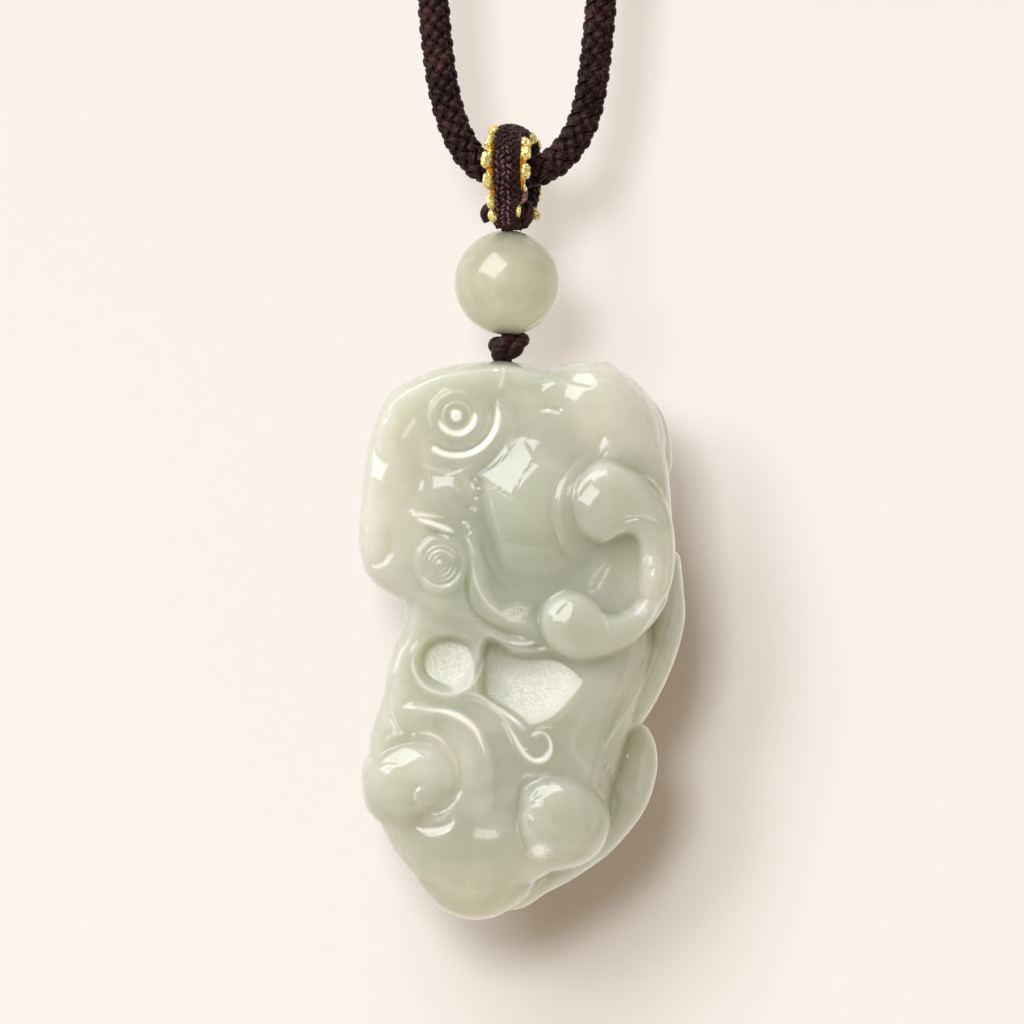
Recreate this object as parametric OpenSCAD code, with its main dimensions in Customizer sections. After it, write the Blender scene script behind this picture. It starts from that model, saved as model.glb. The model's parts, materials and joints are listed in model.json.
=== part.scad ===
// A carved jade pendant with a drilled bead and a slip loop, on a closed neck cord.
// Millimetres, +Z up, the carved face towards -Y. The origin is the underside of the
// cord's join at the top of the loop, where the loop rests on what it hangs from.

/* [Neck cord] */
// Diameter of the braided neck cord
cord_d = 3.2; // [2.4:0.1:4]

/* [Cord join] */
// Length of the sleeve along the cord
join_l = 20; // [12:1:30]
// Wall of the sleeve
join_wall = 0.8; // [0.6:0.1:1.2]
// Clearance between the cord and the sleeve
join_gap = 0.2; // [0.15:0.05:0.3]

/* [Bail] */
// Width of the brown middle band, along the cord
band_w = 2.5; // [1.9:0.1:3.2]
// Width of each gold edge, along the cord
edge_w = 0.9; // [0.7:0.1:1.1]
// Wall of the loop round the cord
bail_wall = 1.7; // [1.3:0.1:2.4]
// Extra height of the loop's crown
bail_crown = 0.3; // [0:0.1:0.6]
// Length of the tail below the loop's hole
bail_tail = 2.6; // [2:0.1:4]
// Thickness of the tail, front to back
tail_t = 3; // [2.2:0.1:4]
// Clearance between the cord and the loop's hole
bail_gap = 1.15; // [1:0.05:1.5]
// How far a gold edge stands back from the band's face
edge_step = 0.2; // [0.1:0.05:0.4]

/* [Bead] */
// Diameter of the bead
bead_d = 10; // [7:0.5:13]

/* [Thread] */
// Diameter of the thread through the bead
thread_d = 1.2; // [0.9:0.1:1.5]
// Clearance between the thread and the holes it runs in
thread_gap = 0.15; // [0.1:0.05:0.25]
// Width of the knot between the bead and the stone
knot_w = 4.1; // [3:0.1:5]
// Height of the knot
knot_h = 2.2; // [1.8:0.1:3]

/* [Stone] */
// Width of the carved stone
stone_w = 31.1; // [22:0.1:40]
// Height of the carved stone
stone_h = 53.4; // [40:0.1:70]
// Thickness of the carved stone
stone_t = 18; // [12:0.5:22]
// Depth of the drilled hole in the top of the stone
hole_depth = 7; // [4:0.5:10]

/* [Hidden] */
$fn = 48;

// Sliver of space between pieces bound side by side
fit = 0.05;
// Space above and below the bead and the knot
seat = 0.1;

// Neck cord: sides of its section, longest step between rings and widest turn of a step
cord_sides = 8;
ring_step = 16;
ring_turn = 9;

// Top bend of the neck cord, which the sleeve follows
bend_r = 28;
bend_z = -25.4;

// Route of the neck cord's centre, x and z: down the left leg, round the bottom, up the
// right leg and over the top
route = [
    [-28, -25.4], [-27.9, -27.6], [-26.1, -50], [-22.9, -90], [-19.7, -130], [-16.6, -170],
    [-13.4, -210], [-10.2, -250], [-8.1, -276], [-7.5, -287], [-7.2, -289.5], [-6.8, -292],
    [-6.2, -294.4], [-5.4, -296.5], [-4.4, -298.2], [-3.1, -299.4], [-1.6, -299.9], [0, -300],
    [1.5, -299.9], [2.9, -299.5], [4.2, -298.6], [5.4, -297.2], [6.3, -295.6], [6.9, -293.8],
    [7.3, -291.8], [7.9, -287], [8.7, -276], [10.7, -250], [13.8, -210], [16.9, -170],
    [20, -130], [23.1, -90], [26.2, -50], [27.9, -27.6], [28, -25.4], [27, -18.2],
    [24.2, -11.4], [19.8, -5.6], [14, -1.2], [7.2, 1.6], [0, 2.6], [-7.2, 1.6],
    [-14, -1.2], [-19.8, -5.6], [-24.2, -11.4], [-27, -18.2],
];

// Hanging pieces: the axis that they swing on, and the line that they hang on
swing_z = -300;
drop_x = -0.75;
bail_hole_r = cord_d / 2 + bail_gap;
tail_z = swing_z - bail_hole_r - bail_tail;
bead_z = tail_z - seat - bead_d / 2;
knot_z = bead_z - bead_d / 2 - seat - knot_h / 2;
stone_z = knot_z - knot_h / 2 - seat;
thread_hole_r = thread_d / 2 + thread_gap;
thread_socket = 1.4;
// Where the tail starts inside the slip loop's ring, as a share of the ring's radius
tail_root = 0.95;

// Stone: the point that its skin is measured from, in shares of its width from the middle
// and of its height from the top. It lies under the drilled hole.
core = [-0.044, 0, 0.43];
// Rings from pole to pole, points in each ring, and halvings that find the skin
skin_rings = 60;
skin_sides = 72;
skin_halvings = 12;
// Smallest and largest reach of the skin, as a share of the half sizes
skin_reach = [0.3, 1.6];
// How sharply neighbouring bulges meet, per millimetre
crease = 1.6;

// The bulges that the stone is carved into. Each is an egg: its centre, as shares of the
// width from the middle, of the thickness towards the back and of the height down from
// the top, and its half sizes as shares of the same three.
bulges = [
    // Head: middle, upper left, lower left and upper right
    [[-0.02, 0, 0.258], [0.44, 0.40, 0.256]],
    [[-0.285, 0, 0.16], [0.20, 0.33, 0.145]],
    [[-0.3, 0, 0.325], [0.20, 0.33, 0.12]],
    [[0.24, 0.02, 0.122], [0.21, 0.36, 0.12]],
    // Smooth forehead
    [[-0.01, -0.17, 0.255], [0.15, 0.31, 0.165]],
    // Ear: round tip, outer sweep and lower curl
    [[0.215, -0.27, 0.255], [0.085, 0.20, 0.05]],
    [[0.37, -0.14, 0.33], [0.10, 0.25, 0.12]],
    [[0.18, -0.19, 0.455], [0.16, 0.28, 0.08]],
    // Chest
    [[-0.1, 0, 0.58], [0.325, 0.34, 0.16]],
    // Haunch
    [[-0.245, -0.12, 0.72], [0.215, 0.32, 0.13]],
    // Paw of three lobes: left, bottom and right
    [[-0.385, -0.14, 0.755], [0.11, 0.28, 0.078]],
    [[-0.17, -0.12, 0.905], [0.195, 0.31, 0.098]],
    [[0.12, -0.16, 0.815], [0.155, 0.30, 0.105]],
    // Behind: head, body, flank ribbon, lower right and bottom
    [[0, 0.12, 0.255], [0.36, 0.30, 0.22]],
    [[-0.04, 0.11, 0.68], [0.32, 0.31, 0.24]],
    [[0.36, 0.11, 0.49], [0.135, 0.26, 0.17]],
    [[0.285, 0.12, 0.765], [0.14, 0.25, 0.14]],
    [[0, 0.13, 0.89], [0.2, 0.25, 0.095]],
];

function wrap(i) = (i + len(route)) % len(route);

function unit(v) = v / norm(v);

// Direction of the route at one of its points, from the chords on both sides
function heading(i) =
    let (before = route[i] - route[wrap(i - 1)], after = route[wrap(i + 1)] - route[i])
    unit(unit(before) * norm(after) + unit(after) * norm(before));

// A smooth curve between two of the route's points, and its direction
function bend_point(a, b, u, v, t) =
    a * (2 * t ^ 3 - 3 * t ^ 2 + 1) + u * (t ^ 3 - 2 * t ^ 2 + t)
    + b * (3 * t ^ 2 - 2 * t ^ 3) + v * (t ^ 3 - t ^ 2);
function bend_heading(a, b, u, v, t) =
    unit((a - b) * (6 * t ^ 2 - 6 * t) + u * (3 * t ^ 2 - 4 * t + 1) + v * (3 * t ^ 2 - 2 * t));

// Rings along the route: each is a centre and a direction, closer where the cord bends
rings = [
    for (i = [0:len(route) - 1])
        let (a = route[i], b = route[wrap(i + 1)], reach = norm(b - a),
             u = heading(i) * reach, v = heading(wrap(i + 1)) * reach,
             turn = acos(min(1, unit(u) * unit(v))),
             steps = max(ceil(reach / ring_step), ceil(turn / ring_turn)))
        for (s = [0:steps - 1])
            [bend_point(a, b, u, v, s / steps), bend_heading(a, b, u, v, s / steps)]
];

// A corner of the cord's section at a ring
function ring_corner(ring, k) =
    let (a = (k + 0.5) * 360 / cord_sides, side = cord_d / 2 * cos(a))
    [ring[0].x + side * ring[1].y, cord_d / 2 * sin(a), ring[0].y - side * ring[1].x];

module neck_cord() {
    n = len(rings);
    m = cord_sides;
    color("#3a231f")
        polyhedron(
            points = [for (ring = rings) for (k = [0:m - 1]) ring_corner(ring, k)],
            faces = [for (i = [0:n - 1]) for (k = [0:m - 1])
                let (j = (i + 1) % n, l = (k + 1) % m)
                [i * m + k, i * m + l, j * m + l, j * m + k]]);
}

module cord_join() {
    hole_r = cord_d / 2 + join_gap;
    sweep = join_l / bend_r * 180 / PI;
    color("#2f1c19")
        translate([0, 0, bend_z])
            rotate([90, 0, 0])
                rotate([0, 0, 90 - sweep / 2])
                    rotate_extrude(angle = sweep)
                        translate([bend_r, 0])
                            difference() {
                                circle(r = hole_r + join_wall);
                                circle(r = hole_r);
                            }
}

// A slice of the slip loop across x: a ring round the cord with a tail below, set back
// from the full size by step
module bail_slice(x, w, step) {
    r = bail_hole_r + bail_wall - step;
    tip = [tail_t / 2 - step, -bail_hole_r - bail_tail];
    from_crown = tip - [0, bail_crown];
    side = atan2(from_crown.y, from_crown.x) + acos(r / norm(from_crown));
    root = r * tail_root;
    shoulder = [root * cos(side), bail_crown + root * sin(side)];
    translate([x, 0, swing_z])
        rotate([90, 0, 90])
            difference() {
                union() {
                    translate([0, bail_crown])
                        cylinder(r = r, h = w, center = true);
                    linear_extrude(height = w, center = true)
                        polygon([shoulder, tip, [-tip.x, tip.y], [-shoulder.x, shoulder.y]]);
                }
                cylinder(r = bail_hole_r, h = w + 2, center = true);
            }
}

module bail_band() {
    color("#4a2b26")
        difference() {
            bail_slice(drop_x, band_w, 0);
            translate([drop_x, 0, tail_z - 1])
                cylinder(r = thread_hole_r, h = thread_socket + 1);
        }
}

module gold_edge(side) {
    color("#d9a521")
        bail_slice(drop_x + side * (band_w / 2 + fit + edge_w / 2), edge_w, edge_step);
}

module gold_edge_left() {
    gold_edge(-1);
}

module gold_edge_right() {
    gold_edge(1);
}

module bead() {
    color("#cdd3bd")
        translate([drop_x, 0, bead_z])
            difference() {
                sphere(r = bead_d / 2);
                cylinder(r = thread_hole_r, h = bead_d + 2, center = true);
            }
}

module tie_thread() {
    top = tail_z + thread_socket - seat;
    bottom = stone_z - hole_depth + seat;
    color("#3a231f")
        translate([drop_x, 0, 0])
            union() {
                translate([0, 0, bottom])
                    cylinder(r = thread_d / 2, h = top - bottom);
                translate([0, 0, knot_z])
                    intersection() {
                        sphere(r = knot_w / 2);
                        cube([knot_w, knot_w, knot_h], center = true);
                    }
            }
}

// Depth of a point inside a bulge, in millimetres. The point and the bulge are in shares.
function bulge_depth(p, bulge) =
    let (d = p - bulge[0], r = bulge[1], size = [stone_w, stone_t, stone_h])
    (1 - norm([d.x / r.x, d.y / r.y, d.z / r.z]))
    * min(r.x * size.x, r.y * size.y, r.z * size.z);

// Above zero inside the stone, where any bulge or a blend of several holds the point
function stone_field(p) =
    let (near = [for (bulge = bulges) exp(crease * bulge_depth(p, bulge))])
    near * [for (n = near) 1] - 1;

// Reach of the skin from the core along a direction, by halving
function skin_reach_at(d, low, high, n) =
    n == 0 ? (low + high) / 2
    : let (middle = (low + high) / 2)
      stone_field(core + middle * d) > 0 ? skin_reach_at(d, middle, high, n - 1)
      : skin_reach_at(d, low, middle, n - 1);

// A point of the skin, in shares, at an angle down from the pole and an angle round
function skin_point(down, round) =
    let (d = [sin(down) * cos(round), sin(down) * sin(round), -cos(down)] / 2)
    core + skin_reach_at(d, skin_reach[0], skin_reach[1], skin_halvings) * d;

function in_millimetres(p, pole) =
    [drop_x + (p.x - pole.x) * stone_w, p.y * stone_t, stone_z - (p.z - pole.z) * stone_h];

module jade_pixiu() {
    pole = skin_point(0, 0);
    skin = [
        pole,
        for (i = [1:skin_rings - 1]) for (k = [0:skin_sides - 1])
            skin_point(i * 180 / skin_rings, k * 360 / skin_sides),
        skin_point(180, 0)];
    last = len(skin) - 1;
    m = skin_sides;
    color("#cfd6c4")
        difference() {
            polyhedron(
                points = [for (p = skin) in_millimetres(p, pole)],
                faces = [
                    for (k = [0:m - 1]) [0, 1 + k, 1 + (k + 1) % m],
                    for (i = [0:skin_rings - 3]) for (k = [0:m - 1])
                        let (a = 1 + i * m, b = a + m, l = (k + 1) % m)
                        each [[a + k, b + k, b + l], [a + k, b + l, a + l]],
                    for (k = [0:m - 1]) [last, last - m + (k + 1) % m, last - m + k]]);
            translate([drop_x, 0, stone_z - hole_depth])
                cylinder(r = thread_hole_r, h = hole_depth + 2);
        }
}

neck_cord();
cord_join();
bail_band();
gold_edge_left();
gold_edge_right();
bead();
tie_thread();
jade_pixiu();
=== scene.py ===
import json
import bpy
import numpy as np
from mathutils import Matrix, Vector


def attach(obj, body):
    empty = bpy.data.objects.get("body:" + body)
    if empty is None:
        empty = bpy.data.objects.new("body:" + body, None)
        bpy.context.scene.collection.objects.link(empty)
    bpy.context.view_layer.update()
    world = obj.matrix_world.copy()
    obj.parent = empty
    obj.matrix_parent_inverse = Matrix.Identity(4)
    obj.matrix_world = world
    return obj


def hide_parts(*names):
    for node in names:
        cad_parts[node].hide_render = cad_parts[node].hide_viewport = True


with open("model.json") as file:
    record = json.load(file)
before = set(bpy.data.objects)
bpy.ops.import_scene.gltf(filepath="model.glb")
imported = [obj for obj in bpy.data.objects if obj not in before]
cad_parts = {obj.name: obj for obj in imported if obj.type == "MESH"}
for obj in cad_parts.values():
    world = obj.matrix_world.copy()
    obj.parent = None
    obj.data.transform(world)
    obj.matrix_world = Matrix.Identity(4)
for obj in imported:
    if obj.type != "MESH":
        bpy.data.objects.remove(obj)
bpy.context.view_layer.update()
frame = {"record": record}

MM = 0.001

# The photograph: its side, pixels a millimetre, and the column and row of the point (0, BAIL_Z)
PHOTO_SIZE = 1024
PHOTO_MIDDLE = PHOTO_SIZE / 2
PX_PER_MM = 10.5
PHOTO_COLUMN = 515
PHOTO_ROW = 173
BAIL_Z = -300.0


def photo_x(column):
    """Millimetres across the object of a column of the photograph."""
    return (column - PHOTO_COLUMN) / PX_PER_MM


def photo_z(row):
    """Millimetres up the object of a row of the photograph."""
    return BAIL_Z - (row - PHOTO_ROW) / PX_PER_MM


VIEW_Z = photo_z(PHOTO_MIDDLE)
CAMERA_AWAY = 800.0
SENSOR = 36.0


def make_camera():
    view = bpy.data.cameras.new("photo_camera")
    view.sensor_width = SENSOR
    view.lens = CAMERA_AWAY * SENSOR * PX_PER_MM / PHOTO_SIZE
    view.clip_start = 0.01
    camera = bpy.data.objects.new("photo_camera", view)
    camera.location = Vector((photo_x(PHOTO_MIDDLE), -CAMERA_AWAY, VIEW_Z)) * MM
    camera.rotation_euler = (np.pi / 2, 0, 0)
    bpy.context.scene.collection.objects.link(camera)
    bpy.context.scene.camera = camera


make_camera()


# Shapes

def unit(v):
    return v / np.maximum(np.linalg.norm(v, axis=-1, keepdims=True), 1e-12)


def smooth(t):
    """A share from 0 to 1, eased at both ends."""
    t = np.clip(t, 0, 1)
    return t * t * (3 - 2 * t)


def hump(at, middle, width):
    """1 at a middle, falling to 0 on both sides of it."""
    return np.exp(-((at - middle) / width) ** 2)


def round_way(angle, across, up, wide=1.0, tall=1.0):
    """Directions at angles round a path, between the one across it and the one up from it."""
    return across * (wide * np.cos(angle))[:, None] + up * (tall * np.sin(angle))[:, None]


def curve_through(points, closed=False, steps=6):
    """A smooth curve through rows of numbers."""
    p = np.array(points, dtype=float)
    if closed:
        p = np.vstack([p[-1:], p, p[:2]])
    else:
        p = np.vstack([2 * p[:1] - p[1:2], p, 2 * p[-1:] - p[-2:-1]])
    t = (np.arange(steps) / steps)[None, :, None]
    a, b, c, d = (p[i:len(p) - 3 + i, None] for i in range(4))
    bend = 0.5 * (2 * b + (c - a) * t + (2 * a - 5 * b + 4 * c - d) * t ** 2
                  + (3 * b - a - 3 * c + d) * t ** 3)
    bend = bend.reshape(-1, p.shape[1])
    return bend if closed else np.vstack([bend, p[-2:-1]])


def lengths_along(path, closed=False):
    """Length from the start to each point, and with closed the whole length at the end."""
    ring = np.vstack([path, path[:1]]) if closed else path
    return np.concatenate([[0], np.cumsum(np.linalg.norm(np.diff(ring, axis=0), axis=1))])


def grid_quads(rows, sides, closed):
    """Quads between rings of corners, and the row and side of each."""
    i, j = np.meshgrid(np.arange(rows if closed else rows - 1), np.arange(sides), indexing="ij")
    i2, j2 = (i + 1) % rows, (j + 1) % sides
    quads = [i * sides + j, i2 * sides + j, i2 * sides + j2, i * sides + j2]
    return np.stack(quads, -1).reshape(-1, 4), i, j


def tube(path, up, wide, tall, sides, closed=False):
    """A swept tube: corners, quads, triangles that cap it, and the UVs of both, in mm along it and
    the share round it."""
    n = len(path)
    ahead = unit(np.roll(path, -1, 0) - np.roll(path, 1, 0) if closed else np.gradient(path, axis=0))
    side = unit(np.cross(ahead, up))
    top = np.cross(side, ahead)
    turn = 2 * np.pi * np.arange(sides)[None, :, None] / sides
    wide, tall = (np.broadcast_to(np.asarray(r, float), (n,))[:, None, None] / 2 for r in (wide, tall))
    ring = side[:, None] * wide * np.cos(turn) + top[:, None] * tall * np.sin(turn)
    quads, i, j = grid_quads(n, sides, closed)
    s = lengths_along(path, closed)
    quad_uv = np.stack([np.stack([s[i], s[i + 1], s[i + 1], s[i]], -1).ravel(),
                        np.stack([j, j, j + 1, j + 1], -1).ravel() / sides], -1)
    caps = np.zeros((0, 3), int)
    if not closed:
        k = np.arange(1, sides - 1)
        last = (n - 1) * sides
        caps = np.vstack([np.stack([0 * k, k, k + 1], -1), last + np.stack([0 * k, k + 1, k], -1)])
    cap_uv = np.stack([s[caps // sides].ravel(), (caps % sides).ravel() / sides], -1)
    return (path[:, None] + ring).reshape(-1, 3), quads, caps, quad_uv, cap_uv


def joined(parts):
    """Several tubes as one."""
    starts = np.cumsum([0] + [len(part[0]) for part in parts])
    moved = [(corners, quads + start, caps + start, quad_uv, cap_uv)
             for (corners, quads, caps, quad_uv, cap_uv), start in zip(parts, starts)]
    return [np.vstack(arrays) for arrays in zip(*moved)]


BODIES = {node: body for body, nodes in frame["record"]["behaviour"]["bodies"].items() for node in nodes}


def add_piece(name, shape, material, node, normals=None, values=None):
    """The piece that stands for a CAD node, or for a part of it. Its shape is corners in millimetres,
    quads, triangles, and the UVs of both if it has any. Values are numbers at its corners."""
    corners, quads, triangles, *uvs = shape
    mesh = bpy.data.meshes.new(name)
    mesh.vertices.add(len(corners))
    mesh.vertices.foreach_set("co", (corners * MM).astype(np.float32).ravel())
    mesh.loops.add(quads.size + triangles.size)
    mesh.loops.foreach_set("vertex_index", np.append(quads, triangles).astype(np.int32))
    mesh.polygons.add(len(quads) + len(triangles))
    starts = np.append(4 * np.arange(len(quads)), quads.size + 3 * np.arange(len(triangles)))
    mesh.polygons.foreach_set("loop_start", starts.astype(np.int32))
    mesh.update(calc_edges=True)
    mesh.polygons.foreach_set("use_smooth", np.ones(len(mesh.polygons), bool))
    if uvs:
        mesh.uv_layers.new(name="UVMap").data.foreach_set("uv", np.vstack(uvs).astype(np.float32).ravel())
    if normals is not None:
        mesh.normals_split_custom_set_from_vertices(normals.astype(np.float32))
    for key, numbers in (values or {}).items():
        mesh.attributes.new(key, "FLOAT", "POINT").data.foreach_set("value", numbers.astype(np.float32))
    mesh.materials.append(material)
    piece = bpy.data.objects.new(name, mesh)
    bpy.context.scene.collection.objects.link(piece)
    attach(piece, BODIES[node])
    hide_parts(node)
    return piece


# Materials

class Nodes:
    """Short calls for building one material's nodes."""

    def __init__(self, name):
        self.material = bpy.data.materials.new(name)
        self.material.use_nodes = True
        self.tree = self.material.node_tree
        self.tree.nodes.clear()
        self.output = self.add("ShaderNodeOutputMaterial")
        place = self.add("ShaderNodeTexCoord")
        self.place = place.outputs["Object"]
        self.uv = place.outputs["UV"]

    def add(self, kind, inputs=(), **settings):
        node = self.tree.nodes.new(kind)
        for key, value in settings.items():
            setattr(node, key, value)
        for key, value in dict(inputs).items():
            socket = node.inputs[key]
            if isinstance(value, bpy.types.NodeSocket):
                self.tree.links.new(value, socket)
            elif socket.type == "RGBA":
                socket.default_value = (*value, 1)
            else:
                socket.default_value = value
        return node

    def math(self, operation, *values):
        return self.add("ShaderNodeMath", dict(enumerate(values)), operation=operation).outputs[0]

    def vector(self, operation, *values, **inputs):
        inputs = {**dict(enumerate(values)), **inputs}
        return self.add("ShaderNodeVectorMath", inputs, operation=operation).outputs[0]

    def total(self, *terms):
        """The sum of values, each with its factor."""
        parts = [self.math("MULTIPLY", value, factor) for value, factor in terms]
        sum_of = parts[0]
        for part in parts[1:]:
            sum_of = self.math("ADD", sum_of, part)
        return sum_of

    def noise(self, scale, detail=3.0, roughness=0.5, distortion=0.0):
        inputs = {"Vector": self.place, "Scale": scale, "Detail": detail, "Roughness": roughness,
                  "Distortion": distortion}
        return self.add("ShaderNodeTexNoise", inputs).outputs["Fac"]

    def ramp(self, value, *stops):
        """Stops are a place and a colour, or a place and a grey."""
        node = self.add("ShaderNodeValToRGB", {"Fac": value})
        steps = node.color_ramp.elements
        while len(steps) < len(stops):
            steps.new(0.5)
        for step, (place, colour) in zip(steps, stops):
            step.position = place
            step.color = (*(colour if isinstance(colour, tuple) else (colour,) * 3), 1)
        return node.outputs["Color"]

    def mix(self, share, a, b):
        node = self.add("ShaderNodeMix", {0: share, COLOUR_A: a, COLOUR_B: b}, data_type="RGBA")
        return node.outputs[COLOUR_OUT]

    def bump(self, height, strength, distance, *under):
        """A relief of a height in metres, over the normal of the one under it."""
        inputs = {"Height": height, "Strength": strength, "Distance": distance}
        inputs.update(zip(["Normal"], under))
        return self.add("ShaderNodeBump", inputs).outputs["Normal"]

    def attribute(self, name):
        return self.add("ShaderNodeAttribute", attribute_name=name).outputs["Fac"]

    def surface(self, **inputs):
        shader = self.add("ShaderNodeBsdfPrincipled", {k.replace("_", " "): v for k, v in inputs.items()})
        self.tree.links.new(shader.outputs[0], self.output.inputs[0])
        return self.material


# The mix node's own numbers of its colour sockets
COLOUR_A, COLOUR_B, COLOUR_OUT = 6, 7, 2
DYE_PATCH = 260.0


def thread_material(name, colours, fibres, twist, roughness, sheen=0.08, relief=0.00006):
    """Twisted silky thread: fibres run round it at a slant, over uneven dye."""
    m = Nodes(name)
    uv = m.add("ShaderNodeSeparateXYZ", {0: m.uv}).outputs
    wave = m.math("SINE", m.math("MULTIPLY", m.total((uv[1], fibres), (uv[0], twist)), 2 * np.pi))
    cloud = m.noise(DYE_PATCH, 3.0, 0.6)
    fleck = m.noise(DYE_PATCH * 9, 2.0)
    light = m.total((wave, 0.10), (cloud, 1.0), (fleck, 0.35))
    return m.surface(Base_Color=m.ramp(light, *zip((0.40, 0.68, 0.98), colours)), Roughness=roughness,
                     Sheen_Weight=sheen, Sheen_Roughness=0.45, Sheen_Tint=(0.55, 0.30, 0.27),
                     Specular_IOR_Level=0.22, Normal=m.bump(m.total((wave, 1.0), (fleck, 1.2)), 0.6, relief))


def gold_material(name, *colours):
    """Metallic foil wound on a thread: facets that glint over deeper tones, which paint shade into
    the creases between its wraps and crinkles.
    """
    m = Nodes(name)
    uv = m.add("ShaderNodeSeparateXYZ", {0: m.uv}).outputs
    saw = m.math("FRACT", m.total((uv[0], 3.4), (uv[1], 1.0)))
    crinkle = m.add("ShaderNodeTexVoronoi", {"Vector": m.place, "Scale": 2100.0}).outputs["Distance"]
    # the colour runs from deep brown, painted shade in the creases between the wraps and crinkles, to pale
    # gold
    tone = m.total((saw, 0.45), (crinkle, 0.9))
    height = m.total((saw, 0.6), (crinkle, 1.0))
    return m.surface(Base_Color=m.ramp(tone, *zip((0.16, 0.36, 0.62), colours)), Metallic=0.65,
                     Roughness=0.27, Normal=m.bump(height, 1.0, 0.00014))


def jade_base(m, scale, cool, pale, milky):
    """Clouds of two tones with milky wisps through them."""
    cloud = m.noise(scale, 4.0, 0.55, 0.8)
    wisp = m.noise(scale * 2.3, 5.0, 0.62, 1.6)
    body = m.mix(m.ramp(cloud, (0.36, 0.0), (0.64, 1.0)), cool, pale)
    return m.mix(m.ramp(wisp, (0.46, 0.0), (0.80, 0.5)), body, milky), wisp


def tool_marks(m):
    """Faint waves and marks that the tools left under the polish."""
    return m.bump(m.noise(330.0, 2.0), 0.3, 0.00006, m.bump(m.noise(2600.0, 2.0), 0.10, 0.00001))


def jade_surface(m, depth, **inputs):
    """Polished stone that light goes a little way into."""
    return m.surface(Subsurface_Weight=1.0, Subsurface_Radius=(1.0, 1.0, 0.85), Subsurface_Scale=depth,
                     Subsurface_Anisotropy=0.3, **inputs)


def near(m, place, x, y, z, reach):
    """1 at a place in millimetres, easing to 0 at a distance."""
    inputs = {0: place, 1: (x * MM, y * MM, z * MM)}
    away = m.add("ShaderNodeVectorMath", inputs, operation="DISTANCE").outputs["Value"]
    return m.add("ShaderNodeMapRange", {0: away, 1: reach * MM, 2: 0.0, 3: 0.0, 4: 1.0},
                 interpolation_type="SMOOTHSTEP").outputs[0]


# Tints in the stone, some of them partly painted light: x, y, z and reach in millimetres, the share at the
# middle, and the colour
STONE_TONES_AND_PAINTED_LIGHT = [
    ((1, -6, -337, 12), 0.62, (0.39, 0.425, 0.32)),
    ((9, -3, -324, 9), 0.7, (0.80, 0.76, 0.68)),
    # the snout's pale cream: partly its milky tone, partly a painted highlight and painted warm light from
    # the pale surroundings
    ((-12.5, -5, -333, 9), 0.36, (0.90, 0.86, 0.77)),
    # olive at the foot: partly its tone, partly painted warm light from the pale surroundings
    ((-5, -3, -373, 15), 0.6, (0.57, 0.54, 0.39)),
    # olive in the hollow under the horn: painted shade
    ((10.5, -4, -338, 5), 0.4, (0.55, 0.51, 0.33)),
    ((13, 0, -352, 9), 0.5, (0.62, 0.60, 0.45)),
    # more of the snout's pale cream, the same mix of milky tone and painted light
    ((-11.5, -5, -325, 7), 0.3, (0.78, 0.74, 0.65)),
    ((12, -7, -332, 7), 0.6, (0.42, 0.44, 0.35)),
    ((4, -6, -354, 8), 0.3, (0.41, 0.42, 0.32)),
    ((2, -7, -323, 6), 0.3, (0.62, 0.62, 0.53)),
    # paler on the haunch: partly milky tone, partly a painted highlight
    ((-5.5, -6, -356.5, 6), 0.55, (0.76, 0.75, 0.66)),
    ((-12, -6, -359, 5), 0.3, (0.44, 0.45, 0.38)),
    ((7, -7, -343, 6), 0.6, (0.42, 0.44, 0.36)),
]


def stone_material():
    """Grey-green at the forehead, milky at the mane and snout, olive at the foot. The tints on the
    snout, foot and haunch are partly painted light, and the olive in the hollow is painted shade. The
    ground floors are frosted, with painted sparkle, and the pale lines along the wheel's cuts are
    partly painted highlights."""
    m = Nodes("jade")
    colour, wisp = jade_base(m, 65.0, (0.457, 0.48, 0.388), (0.525, 0.535, 0.447), (0.69, 0.68, 0.60))
    swirl = m.add("ShaderNodeTexNoise", {"Vector": m.place, "Scale": 120.0}).outputs["Color"]
    stir = m.vector("SCALE", m.vector("SUBTRACT", swirl, (0.5, 0.5, 0.5)), Scale=0.008)
    bent = m.vector("ADD", m.place, stir)
    for spot, share, tone in STONE_TONES_AND_PAINTED_LIGHT:
        colour = m.mix(m.math("MULTIPLY", near(m, bent, *spot), share), colour, tone)
    frost = m.attribute("frost")
    grit = m.noise(5200.0, 3.0, 0.7)
    # the frosted floors turn paler in grains: partly the look of unpolished stone, partly painted sparkle
    frost_pale_and_sparkle = m.math("MULTIPLY", frost, m.ramp(m.noise(4300.0, 2.0, 0.6), (0.38, 0.12), (0.66, 0.55)))
    # the pale lines along the cuts, partly painted highlights, and the frosted floors' paler grains with
    # their painted sparkle, mixed towards a pale grey
    cut_glint_and_frost_mix = m.math("MAXIMUM", m.attribute("pale"), frost_pale_and_sparkle)
    rough = m.total((m.ramp(wisp, (0.4, 0.045), (0.8, 0.07)), 1.0), (m.math("MULTIPLY", frost, grit), 0.5))
    normal = m.bump(grit, m.math("MULTIPLY", frost, 0.6), 0.00005, tool_marks(m))
    return jade_surface(m, 0.012, Base_Color=m.mix(cut_glint_and_frost_mix, colour, (0.90, 0.89, 0.83)), Roughness=rough,
                        IOR=1.53, Normal=normal)


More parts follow.
